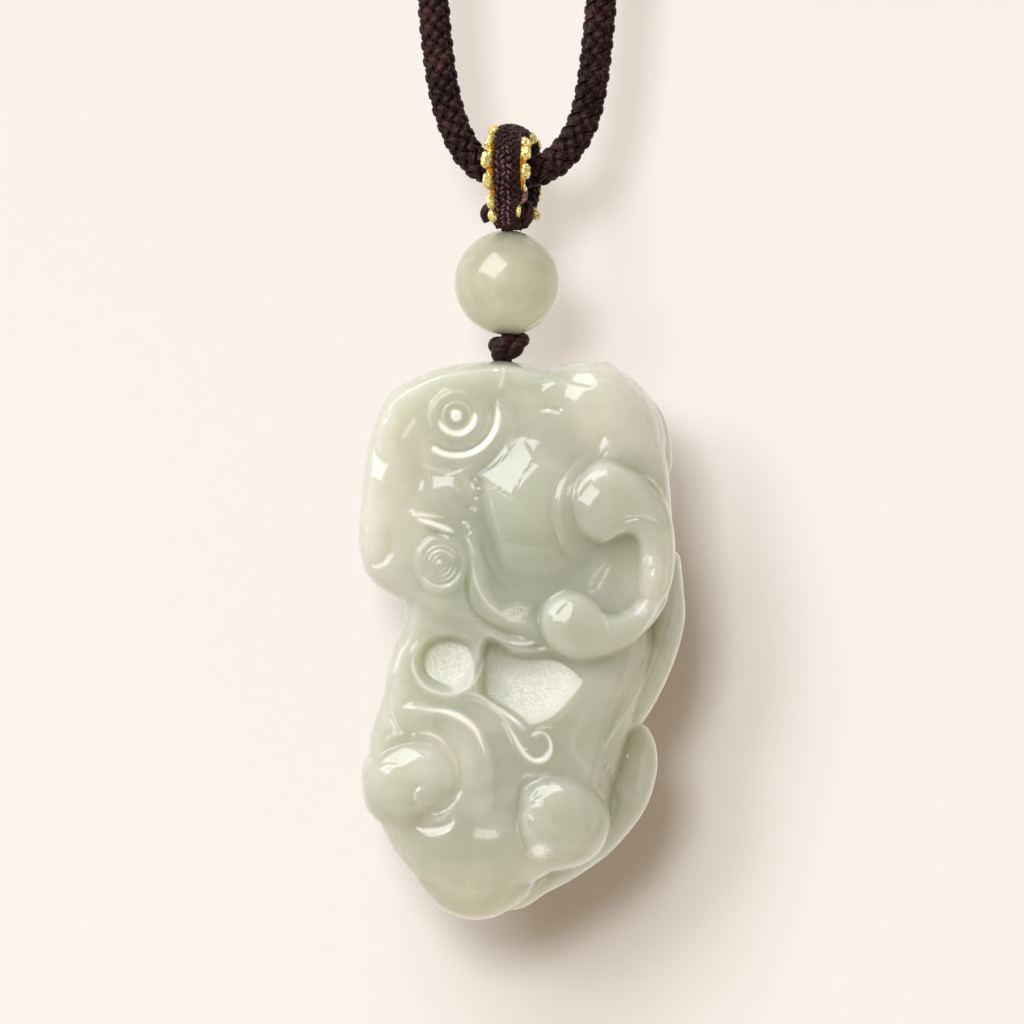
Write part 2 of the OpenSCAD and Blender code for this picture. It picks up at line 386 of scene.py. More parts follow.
def bead_material():
    """Greener than the stone, a lighter olive low down that is partly its tone and partly painted
    light on its shaded underside, with a wet gloss over a softer polish.
    """
    m = Nodes("bead_jade")
    colour, _ = jade_base(m, 120.0, (0.35, 0.350, 0.265), (0.40, 0.395, 0.307), (0.48, 0.47, 0.39))
    # lighter olive at the foot of the bead: partly its tone, partly painted light where shade falls under it
    low = m.math("MULTIPLY", near(m, m.place, -0.75, 0, -315.5, 6.5), 0.7)
    return jade_surface(m, 0.02, Base_Color=m.mix(low, colour, (0.55, 0.53, 0.37)), Roughness=0.16, IOR=1.38,
                        Normal=tool_marks(m), Coat_Weight=0.5, Coat_Roughness=0.02)


# Threads: three colours from deep to bright, fibres round the thread, their twist, and roughness
BROWN = [(0.004, 0.001, 0.001), (0.020, 0.006, 0.006), (0.080, 0.027, 0.028)]
BAND_BROWN = [(0.004, 0.001, 0.001), (0.020, 0.006, 0.007), (0.10, 0.04, 0.042)]
# the stitches' pinker brown is partly the thread's own and partly a painted highlight on the band's lit side
STITCH_AND_GLINT_BROWN = [(0.035, 0.013, 0.015), (0.15, 0.065, 0.075), (0.42, 0.24, 0.26)]
KNOT_BROWN = [(0.004, 0.001, 0.001), (0.022, 0.006, 0.006), (0.07, 0.02, 0.018)]
LIGHT_BROWN = [(0.05, 0.02, 0.018), (0.18, 0.085, 0.075), (0.40, 0.23, 0.21)]
cord_thread = thread_material("brown_braid", BROWN, 5.0, 0.9, 0.52)
wound_thread = thread_material("brown_winding", BROWN, 4.0, 2.2, 0.5)
band_thread = thread_material("brown_band", BAND_BROWN, 2.0, 2.3, 0.38, sheen=0.1, relief=0.00013)
stitch_and_glint_thread = thread_material("brown_stitch_and_glint", STITCH_AND_GLINT_BROWN, 2.0, 3.0, 0.36, sheen=0.1)
knot_thread = thread_material("brown_tie", KNOT_BROWN, 4.0, 1.8, 0.5)
light_thread = thread_material("light_end", LIGHT_BROWN, 2.0, 2.0, 0.45)
gold = gold_material("gold_thread", (0.55, 0.21, 0.01), (1.0, 0.64, 0.10), (1.0, 0.88, 0.36))
# the same gold made darker for the thread under the lumps: painted shade
gold_shaded = gold_material("gold_under_painted_shade", (0.06, 0.012, 0.001), (0.32, 0.09, 0.005), (0.80, 0.32, 0.025))
stone_jade = stone_material()
bead_jade = bead_material()


# Neck cord

# Route of the cord's centre, x and z in metres: down the left leg, round the bottom, up the
# right leg and over the top
ROUTE = [
    (-0.028, -0.0254), (-0.0279, -0.0276), (-0.0261, -0.050), (-0.0229, -0.090), (-0.0197, -0.130),
    (-0.0166, -0.170), (-0.0134, -0.210), (-0.0102, -0.250), (-0.0081, -0.276), (-0.0075, -0.287),
    (-0.0072, -0.2895), (-0.0068, -0.292), (-0.0062, -0.2944), (-0.0054, -0.2965), (-0.0044, -0.2982),
    (-0.0031, -0.2994), (-0.0016, -0.2999), (0, -0.300), (0.0015, -0.2999), (0.0029, -0.2995),
    (0.0042, -0.2986), (0.0054, -0.2972), (0.0063, -0.2956), (0.0069, -0.2938), (0.0073, -0.2918),
    (0.0079, -0.287), (0.0087, -0.276), (0.0107, -0.250), (0.0138, -0.210), (0.0169, -0.170),
    (0.020, -0.130), (0.0231, -0.090), (0.0262, -0.050), (0.0279, -0.0276), (0.028, -0.0254),
    (0.027, -0.0182), (0.0242, -0.0114), (0.0198, -0.0056), (0.014, -0.0012), (0.0072, 0.0016),
    (0, 0.0026), (-0.0072, 0.0016), (-0.014, -0.0012), (-0.0198, -0.0056), (-0.0242, -0.0114),
    (-0.027, -0.0182),
]
CORD_D = 3.2
CORD_PIECES = 3
STRANDS_EACH_WAY = 6
BRAID_PITCH = 9.3
STRAND_WIDE = 0.82
STRAND_TALL = 0.56
BRAID_WAVE = 0.25
NEAR_STEP = 0.17
FAR_STEP = 0.30
CLOSE_BELOW = -265.0
CORE_D = CORD_D - 1.3
CORE_RINGS = 700


def cord_centre():
    """The cord's centre line as a closed smooth curve in millimetres."""
    p = np.array(ROUTE) / MM
    before, after = p - np.roll(p, 1, 0), np.roll(p, -1, 0) - p
    reach = np.linalg.norm(after, axis=1, keepdims=True)
    heading = unit(unit(before) * reach + unit(after) * np.roll(reach, 1, 0))
    a, b = p[:, None], np.roll(p, -1, 0)[:, None]
    u, v = (heading * reach)[:, None], (np.roll(heading, -1, 0) * reach)[:, None]
    t = (np.arange(24) / 24)[None, :, None]
    line = (a * (2 * t ** 3 - 3 * t ** 2 + 1) + u * (t ** 3 - 2 * t ** 2 + t)
            + b * (3 * t ** 2 - 2 * t ** 3) + v * (t ** 3 - t ** 2)).reshape(-1, 2)
    return np.stack([line[:, 0], np.zeros(len(line)), line[:, 1]], -1)


class CordLine:
    """Places along the closed centre line, with the direction across the cord in its own plane."""

    def __init__(self):
        self.points = cord_centre()
        self.reach = lengths_along(self.points, True)
        self.length = self.reach[-1]
        self.top = np.argmax(self.points[:, 2])

    def at(self, s):
        ring = np.vstack([self.points, self.points[:1]])
        s = np.mod(s, self.length)
        return np.stack([np.interp(s, self.reach, ring[:, k]) for k in range(3)], -1)

    def frame(self, s):
        ahead = unit(self.at(s + 0.2) - self.at(s - 0.2))
        depth = np.broadcast_to([0.0, 1.0, 0.0], ahead.shape)
        return self.at(s), np.cross(ahead, depth), depth

    def stations(self):
        """Lengths along the cord, closer together near the pendant."""
        low = np.flatnonzero(self.points[:, 2] < CLOSE_BELOW)
        start, end = self.reach[low[0]], self.reach[low[-1]]
        back = self.length + start
        return np.concatenate([np.linspace(start, end, int((end - start) / NEAR_STEP), endpoint=False),
                               np.linspace(end, back, int((back - end) / FAR_STEP), endpoint=False)])


def braid_strand(line, number, way):
    """One strand of the round braid, over and under its neighbours in turn."""
    s = line.stations()
    turned = 2 * np.pi * round(line.length / BRAID_PITCH) * s / line.length
    angle = way * turned + 2 * np.pi * number / STRANDS_EACH_WAY
    deep = CORD_D / 2 - STRAND_TALL / 2 - BRAID_WAVE
    radius = deep + way * BRAID_WAVE * np.cos(STRANDS_EACH_WAY * turned)
    centre, across, depth = line.frame(s)
    out = round_way(angle, across, depth)
    return tube(centre + out * radius[:, None], out, STRAND_WIDE, STRAND_TALL, 6, closed=True)


def make_neck_cord(line):
    strands = [(n, way) for way in (1, -1) for n in range(STRANDS_EACH_WAY)]
    for k in range(CORD_PIECES):
        group = [braid_strand(line, *strand) for strand in strands[k::CORD_PIECES]]
        add_piece(f"neck_braid_{k + 1}", joined(group), cord_thread, "neck_cord")
    centre, across, _ = line.frame(np.linspace(0, line.length, CORE_RINGS, endpoint=False))
    core = tube(centre, across, CORE_D, CORE_D, 8, closed=True)
    add_piece("neck_cord_core", core, cord_thread, "neck_cord")


JOIN_HALF = 10.0
JOIN_THREAD = 0.82
JOIN_RADIUS = 2.15
JOIN_SLEEVE_D = 2 * JOIN_RADIUS - 0.3
# How far the thread sinks where it is tucked in, and over how many turns
TUCK_DEEP = 0.45
TUCK_TURNS = 0.7


def make_cord_join(line):
    """Thread wound closely over the two ends of the cord, with its own ends tucked in."""
    middle = line.reach[line.top]
    turns = int(2 * JOIN_HALF / JOIN_THREAD)
    share = np.linspace(0, 1, turns * 22)
    centre, across, depth = line.frame(middle + JOIN_HALF * (2 * share - 1))
    out = round_way(2 * np.pi * turns * share, across, depth)
    ends = smooth(share * turns / TUCK_TURNS) * smooth((1 - share) * turns / TUCK_TURNS)
    radius = JOIN_RADIUS - TUCK_DEEP * (1 - ends)
    coil = tube(centre + out * radius[:, None], out, JOIN_THREAD * 1.04, JOIN_THREAD, 8)
    centre, across, _ = line.frame(middle + JOIN_HALF * np.linspace(-0.97, 0.97, 60))
    sleeve = tube(centre, across, JOIN_SLEEVE_D, JOIN_SLEEVE_D, 16)
    add_piece("join_winding", joined([coil, sleeve]), wound_thread, "cord_join")


# Slip loop that carries the drop

BAIL_X = -0.75
# Rows: y and z from the middle of the loop's hole, from the front foot up to the top. The back
# is the same the other way round.
BAIL_FRONT = [(-0.78, -4.95), (-1.35, -4.15), (-2.15, -3.1), (-3.0, -1.75), (-3.5, -0.2), (-3.4, 1.35),
              (-2.75, 2.6), (-1.6, 3.5)]
BAIL_TOP = (0.0, 3.87)
BAIL_LOOP = BAIL_FRONT + [BAIL_TOP] + [(-y, z) for y, z in BAIL_FRONT[::-1]]
BACK_SHIFT = 1.9
BAND_W = 2.75
BAND_T = 1.75
BAND_CORE_THINNER = 0.75
BAND_STRANDS = 7
BAND_BRAID_PITCH = 4.4
BAND_STRAND_W = 0.50
BAND_STRAND_T = 0.32
BAND_WAVE = 0.13
# the stitch columns sit only on the band's left, lit part
STITCH_COLUMNS = (-0.95, -0.42, 0.1)
STITCH_PITCH = 0.5
STITCH_HALF = 0.20
STITCH_W = 0.24
# Where the band faces down more than this, no stitch is made, which keeps the pinker stitches
# off its shaded underside
STITCH_LOWEST = -0.45


def bail_line():
    """The loop's middle line, its outward direction and its share from the front foot to the back."""
    flat = curve_through(BAIL_LOOP, steps=12)
    path = np.stack([np.full(len(flat), BAIL_X), flat[:, 0], flat[:, 1] + BAIL_Z], -1)
    ahead = unit(np.gradient(path, axis=0))
    out = np.cross(ahead, np.broadcast_to([1.0, 0.0, 0.0], ahead.shape))
    path[:, 0] += BACK_SHIFT * smooth((path[:, 1] + 1.2) / 4.7)
    return path, out, np.linspace(0, 1, len(path))


def along(path, out, share, at):
    """Places and outward directions on a sampled line at given shares of it."""
    place, way = (np.stack([np.interp(at, share, rows[:, k]) for k in range(3)], -1) for rows in (path, out))
    return place, unit(way)


def band_strand(number, way):
    """One strand of the flat braid that the band is made of."""
    path, out, share = bail_line()
    turns = lengths_along(path)[-1] / BAND_BRAID_PITCH
    at = np.linspace(0, 1, int(turns * 60))
    centre, up = along(path, out, share, at)
    turned = 2 * np.pi * turns * at
    angle = way * turned + 2 * np.pi * number / BAND_STRANDS
    across = np.broadcast_to([1.0, 0.0, 0.0], up.shape)
    inset = BAND_STRAND_T / 2 + BAND_WAVE
    ring = round_way(angle, across, up, BAND_W / 2 - inset, BAND_T / 2 - inset)
    face = unit(round_way(angle, across, up, 1 / BAND_W, 1 / BAND_T))
    lift = way * BAND_WAVE * np.cos(BAND_STRANDS * turned)
    return tube(centre + ring + face * lift[:, None], face, BAND_STRAND_W, BAND_STRAND_T, 7)


def stitches():
    """Short slanting stitches in columns on the band's left, lit part, each a little out of line. Their
    pinker thread is partly a painted highlight.
    """
    path, out, share = bail_line()
    whole = lengths_along(path)[-1]
    t = np.linspace(-1, 1, 5)
    made = []
    for column, place in enumerate(STITCH_COLUMNS):
        for k in range(int(whole / STITCH_PITCH) - 3):
            middle = (k + 1.6 + 0.33 * column + 0.2 * np.sin(7.9 * k + 3 * column)) * STITCH_PITCH / whole
            slant = (1 if column % 2 else -1) * (0.75 + 0.5 * np.sin(2.3 * k + 4 * column))
            centre, up = along(path, out, share, middle + t * STITCH_HALF / whole)
            if up[2, 2] < STITCH_LOWEST:
                continue
            centre[:, 0] += place + 0.22 * slant * t + 0.08 * np.sin(5.1 * k + column)
            raised = BAND_T / 2 * np.sqrt(1 - (1.7 * place / BAND_W) ** 2) - 0.04 - 0.12 * t ** 2
            fat = STITCH_W * np.sqrt(1.05 - t ** 2)
            made.append(tube(centre - up * raised[:, None], up, fat, 0.8 * fat, 6))
    return joined(made)


def make_bail_band():
    """Brown thread braided flat round a core, and stitched on its lit side in a pinker thread that is
    partly a painted highlight.
    """
    path, out, _ = bail_line()
    strands = [band_strand(n, way) for way in (1, -1) for n in range(BAND_STRANDS)]
    core = tube(path, out, BAND_W - BAND_CORE_THINNER, BAND_T - BAND_CORE_THINNER, 10)
    add_piece("bail_braid", joined(strands + [core]), band_thread, "bail_band")
    add_piece("bail_stitches_and_glints", stitches(), stitch_and_glint_thread, "bail_band")


GOLD_PLIES = 3
GOLD_TWIST = 1.3
EDGE_OUT = 1.82
LUMP_PITCH = 1.83


def gold_strand(path, up, width, twist=GOLD_TWIST):
    """Plies of gold thread twisted together along a path, with a width at each point."""
    s = lengths_along(path)
    ahead = unit(np.gradient(path, axis=0))
    across = unit(np.cross(ahead, up))
    plies = []
    for ply in range(GOLD_PLIES):
        ring = round_way(2 * np.pi * (s / twist + ply / GOLD_PLIES), across, np.cross(across, ahead))
        plies.append(tube(path + ring * (0.23 * width)[:, None], ring, 0.58 * width, 0.52 * width, 8))
    return joined(plies)


def gold_edge(side, first, last, start, lean, drop):
    """A row of lumps of gold thread along one edge of the band, and the thread that runs under them.
    It runs from the first share of the edge to the last, with the first lump at a share of a pitch.
    Lean moves it in over the band, and drop holds how far it goes in, down and behind."""
    path, out, share = bail_line()
    line = path.copy()
    line[:, 0] += side * (EDGE_OUT - lean(share))
    whole = lengths_along(line)[-1]
    at = np.linspace(first, last, int(17 * (last - first) * whole))
    middle, up = along(line, out, share, at)
    phase = 2 * np.pi * (at * whole / LUMP_PITCH + start)
    lump = smooth(0.62 + 0.70 * np.cos(phase))
    uneven = 1 + 0.10 * np.sin(phase * 0.37 + side) + 0.05 * np.sin(phase * 3.1)
    ends = smooth((at - first) * whole / 1.7) * smooth((last - at) * whole / 0.8)
    width = (0.25 + 0.84 * lump) * uneven * (0.35 + 0.65 * ends)
    lift, fall, behind = drop(at)
    middle[:, 2] -= fall
    under = middle - up * (0.04 + 0.85 * lift)[:, None]
    under[:, 0] -= side * (0.42 + 0.85 * behind)
    middle -= up * (0.30 * lump - 0.04 + 0.95 * lift)[:, None]
    middle[:, 0] += side * (0.10 * lump - 0.14 - 0.85 * behind)
    slim = 0.4 + 0.6 * ends
    return gold_strand(middle, up, width), tube(under, up, 0.66 * slim, 0.6 * slim, 10)


def feet(share):
    """1 at both feet of the band, easing to 0 along its legs."""
    return smooth((0.32 - share) / 0.32) + smooth((share - 0.68) / 0.32)


def left_lean(share):
    return 0.55 * feet(share) + 0.62 * hump(share, 0.47, 0.07) - 0.2 * hump(share, 0.27, 0.09)


def right_lean(share):
    return 0.15 * feet(share)


def left_drop(at):
    return np.zeros((3, len(at)))


def right_drop(at):
    """The right thread sinks in past the top of the band, then runs down behind it."""
    lift = smooth((at - 0.60) / 0.07) - 0.75 * hump(at, 0.51, 0.05)
    return lift, 0.75 * hump(at, 0.44, 0.10), smooth((at - 0.40) / 0.08)


def loose_end(points, thin, first=0.1, last=0.9, tip=0.1):
    """The path of a short loose end, a direction up from it, and its swell, thinner at both ends."""
    path = curve_through(points, steps=8)
    swell = thin + (1 - thin) * np.sin(np.pi * np.linspace(first, last, len(path)))
    return path, np.broadcast_to([0.0, -1.0, tip], path.shape), swell


# Loose ends: points in millimetres, and width. The gold ones are the two tails of the right thread
# where they come out again by the bead, and the dark ones stand out at the foot of the band.
GOLD_ENDS = [
    ([(0.15, -2.2, -303.0), (0.3, -2.4, -303.5), (0.3, -2.1, -304.2)], 0.6),
    ([(1.2, 1.3, -303.5), (1.75, 1.0, -303.8), (2.2, 0.7, -304.2)], 1.15),
]
DARK_ENDS = [
    ([(-2.2, -1.2, -303.0), (-2.75, -1.5, -303.4), (-2.95, -1.5, -304.0), (-2.7, -1.3, -304.7)], 0.75),
    ([(0.7, -0.6, -302.8), (1.25, -0.9, -303.4), (1.3, -0.9, -304.2), (0.9, -0.7, -304.9)], 1.0),
]
LIGHT_END = [(0.72, -2.3, -301.5), (0.95, -2.7, -301.9), (0.9, -2.6, -302.5), (0.5, -2.3, -302.9)]
LIGHT_END_W = 0.56
LIGHT_END_T = 0.5


def make_gold_edges():
    left, left_under = gold_edge(-1, 0.01, 0.97, 0.1, left_lean, left_drop)
    right, right_under = gold_edge(1, 0.19, 0.95, 0.62, right_lean, right_drop)
    tails = []
    for points, width in GOLD_ENDS:
        path, up, swell = loose_end(points, 0.6, 0.15, 0.95, 0.2)
        tails.append(gold_strand(path, up, width * swell, 0.9))
    add_piece("gold_lumps_left", left, gold, "gold_edge_left")
    # the thread under the lumps takes the darker gold, painted shade
    add_piece("gold_under_left", left_under, gold_shaded, "gold_edge_left")
    add_piece("gold_lumps_right", joined([right] + tails), gold, "gold_edge_right")
    add_piece("gold_under_right", right_under, gold_shaded, "gold_edge_right")


def make_thread_ends():
    """Ends of the band's thread that stand out at its foot, two dark and one lighter."""
    dark = []
    for points, width in DARK_ENDS:
        path, up, swell = loose_end(points, 0.75)
        dark.append(tube(path, up, width * swell, width * swell, 10))
    add_piece("thread_ends", joined(dark), cord_thread, "bail_band")
    path, up, swell = loose_end(LIGHT_END, 0.7)
    light = tube(path, up, LIGHT_END_W * swell, LIGHT_END_T * swell, 10)
    add_piece("light_thread_end", light, light_thread, "bail_band")


# Thread, knot and bead

BEAD_Z = -310.45
BEAD_R = 5.0
BEAD_HOLE = 0.75
BEAD_SIDES = 128
KNOT_Z = -316.6
KNOT_TILT = -16
THREAD_TOP = -304.3
THREAD_FOOT = -324.7
THREAD_PITCH = 3.2
THREAD_OUT = 0.29
THREAD_W = 0.6
# The strand that laps over the knot, from the knot's middle
KNOT_EAR = [(-0.3, -0.4, -0.2), (0.7, -0.9, 0.1), (1.45, -0.6, 0.55), (1.5, 0.1, 0.85), (0.9, 0.6, 0.5),
            (0.0, 0.6, 0.1)]


def make_tie_thread():
    """Two strands down through the bead, a knot under it, and on into the stone."""
    parts = []
    z = np.linspace(THREAD_TOP, THREAD_FOOT, 160)
    for ply in range(2):
        angle = 2 * np.pi * z / THREAD_PITCH + np.pi * ply
        out = np.stack([np.cos(angle), np.sin(angle), np.zeros(len(z))], -1)
        path = THREAD_OUT * out + np.stack([np.full(len(z), BAIL_X), np.zeros(len(z)), z], -1)
        parts.append(tube(path, unit(THREAD_OUT * out + np.array([1e-3, 0, 0])), THREAD_W, THREAD_W, 8))
    t = np.linspace(0, 2 * np.pi, 220, endpoint=False)
    reach = 0.86 + 0.34 * np.cos(3 * t)
    lobe = np.stack([reach * np.cos(2 * t), 0.95 * reach * np.sin(2 * t), 0.62 * np.sin(3 * t)], -1)
    tilt = np.array(Matrix.Rotation(np.radians(KNOT_TILT), 3, "Y"))
    middle = np.array([BAIL_X, 0, KNOT_Z])
    parts.append(tube(lobe @ tilt.T + middle - np.array([0.1, 0, 0]), unit(lobe + 1e-3), 1.45, 1.25, 12,
                      closed=True))
    ear = curve_through(KNOT_EAR, steps=10)
    parts.append(tube(ear + middle, unit(ear - np.array([0.5, 0, -1.0])), 1.25, 1.1, 10))
    add_piece("tie_knot", joined(parts), knot_thread, "tie_thread")


def make_bead():
    """A turned ball with eased rims where it is drilled."""
    rim_angle = np.arcsin((BEAD_HOLE + 0.12) / BEAD_R)
    fall = np.linspace(rim_angle, np.pi - rim_angle, 96)
    outer = np.stack([BEAD_R * np.sin(fall), BEAD_R * np.cos(fall)], -1)
    top = outer[0, 1]
    ease = [(BEAD_HOLE + 0.03, top - 0.02), (BEAD_HOLE, top - 0.12)]
    bore = [(BEAD_HOLE, z) for z in np.linspace(top - 0.8, 0.8 - top, 12)]
    profile = np.vstack([outer, [(r, -z) for r, z in ease], bore[::-1], ease[::-1]])
    turn = 2 * np.pi * np.arange(BEAD_SIDES) / BEAD_SIDES
    radius, height = profile[:, :1], profile[:, 1:]
    corners = np.stack([BAIL_X + radius * np.cos(turn), radius * np.sin(turn),
                        np.repeat(BEAD_Z + height, BEAD_SIDES, 1)], -1).reshape(-1, 3)
    quads = grid_quads(len(profile), BEAD_SIDES, True)[0]
    add_piece("jade_bead", (corners, quads, np.zeros((0, 3), int)), bead_jade, "bead")


# Carved stone. It is worked out in photo pixels across and down, and pixels of depth to the same
# scale, with the front negative.

CHART_LEFT, CHART_RIGHT, CHART_TOP, CHART_FOOT = 340, 704, 340, 936
PAD_STEP = 2.0
pad_x, pad_y = np.meshgrid(np.arange(CHART_LEFT, CHART_RIGHT, PAD_STEP),
                           np.arange(CHART_TOP, CHART_FOOT, PAD_STEP))
fine_x, fine_y = np.meshgrid(np.arange(CHART_LEFT, CHART_RIGHT - 1.0), np.arange(CHART_TOP, CHART_FOOT - 1.0))


def nearest_on(gx, gy, path):
    """For each place: distance to a path, in its radii where it has them, side and share along it."""
    near_by = np.full(gx.shape, 1e9)
    side, share = np.zeros(gx.shape), np.zeros(gx.shape)
    reach = lengths_along(path[:, :2])
    for k, (a, b) in enumerate(zip(path[:-1], path[1:])):
        dx, dy = (b - a)[:2]
        t = np.clip(((gx - a[0]) * dx + (gy - a[1]) * dy) / max(dx * dx + dy * dy, 1e-9), 0, 1)
        d = np.hypot(gx - a[0] - t * dx, gy - a[1] - t * dy)
        if len(a) > 2:
            d = d / (a[2] + (b[2] - a[2]) * t)
        closer = d < near_by
        near_by = np.where(closer, d, near_by)
        side = np.where(closer, np.sign(dx * (gy - a[1]) - dy * (gx - a[0])), side)
        share = np.where(closer, (reach[k] + t * (reach[k + 1] - reach[k])) / reach[-1], share)
    return near_by, side, share


def depth_within(gx, gy, path):
    """Whether each place lies inside a closed path, and its distance from it, more than 0 inside."""
    within = np.zeros(gx.shape, bool)
    for a, b in zip(path, np.roll(path, -1, 0)):
        if a[1] != b[1]:
            crossing = (b[0] - a[0]) * (gy - a[1]) / (b[1] - a[1]) + a[0]
            within ^= ((a[1] > gy) != (b[1] > gy)) & (gx < crossing)
    away = nearest_on(gx, gy, np.vstack([path, path[:1]]))[0]
    return within, np.where(within, away, -away)


def soften(a, rounds):
    for _ in range(rounds):
        a = np.pad(a, 1, mode="edge")
        a = (a[:-2] + 2 * a[1:-1] + a[2:]) / 4
        a = (a[:, :-2] + 2 * a[:, 1:-1] + a[:, 2:]) / 4
    return a


def soap_film(mask, rounds=220):
    """Height of a film blown up over a flat outline, by conjugate gradients."""
    height = np.zeros(mask.shape)
    rest = mask.astype(float)
    step = rest.copy()
    power = (rest * rest).sum()
    for _ in range(rounds):
        q = np.pad(step, 1)
        pull = mask * (4 * step - q[:-2, 1:-1] - q[2:, 1:-1] - q[1:-1, :-2] - q[1:-1, 2:])
        share = power / (step * pull).sum()
        height += share * step
        rest -= share * pull
        new = (rest * rest).sum()
        if new < 1e-6 * mask.sum():
            break
        step = rest + new / power * step
        power = new
    return height


def outline(*points):
    """0 at the crest of an outline's pillow, 1 on the outline, more outside."""
    within, d = depth_within(pad_x, pad_y, curve_through(points, True, 5))
    film = soap_film(within)
    film /= film.max()
    edge = (d > 0.5 * PAD_STEP) & (d < 5 * PAD_STEP)
    rate = np.where(edge, film / np.maximum(d, PAD_STEP), 0)
    weight = soften(edge.astype(float), 14)
    slope = np.where(weight > 1e-4, soften(rate, 14) / np.maximum(weight, 1e-6), rate[edge].mean())
    deep = smooth((d - 2 * PAD_STEP) / (4 * PAD_STEP))
    return 1 - np.where(d > 0, (1 - deep) * d * slope + deep * soften(film, 1), d * slope)


def arm(*rows):
    """A round arm through rows of x, y and radius."""
    return nearest_on(pad_x, pad_y, curve_through(rows, steps=12))[0] ** 2


def rim(width, *points):
    """0 well inside an outline, rising to 1 on it over a width."""
    d = depth_within(pad_x, pad_y, curve_through(points, True, 5))[1]
    return soften(np.maximum(1 - d / width, 0), 1)


def oval(gx, gy, x, y, half_w, half_h, turn=0.0):
    """0 in the middle of an oval turned by degrees, 1 on its edge."""
    c, s = np.cos(np.radians(turn)), np.sin(np.radians(turn))
    return (((gx - x) * c + (gy - y) * s) / half_w) ** 2 + ((-(gx - x) * s + (gy - y) * c) / half_h) ** 2


def pad(fall, mid, front, back, full=1.0, blend=5.0):
    """A swelling: its plan, middle depth and thickness each way in mm, fullness, and blend in pixels."""
    for axis in (0, 1):
        a = np.moveaxis(fall, axis, 0)
        edge = np.concatenate([2 * a[:1] - a[1:2], a, 2 * a[-1:] - a[-2:-1]])
        finer = np.zeros((2 * len(a) - 1,) + a.shape[1:])
        finer[::2], finer[1::2] = a, (9 * (edge[1:-2] + edge[2:-1]) - edge[:-3] - edge[3:]) / 16
        fall = np.moveaxis(finer, 0, axis)
    return {"fall": fall, "mid": mid * PX_PER_MM, "front": front * PX_PER_MM, "back": back * PX_PER_MM,
            "full": full, "blend": blend}


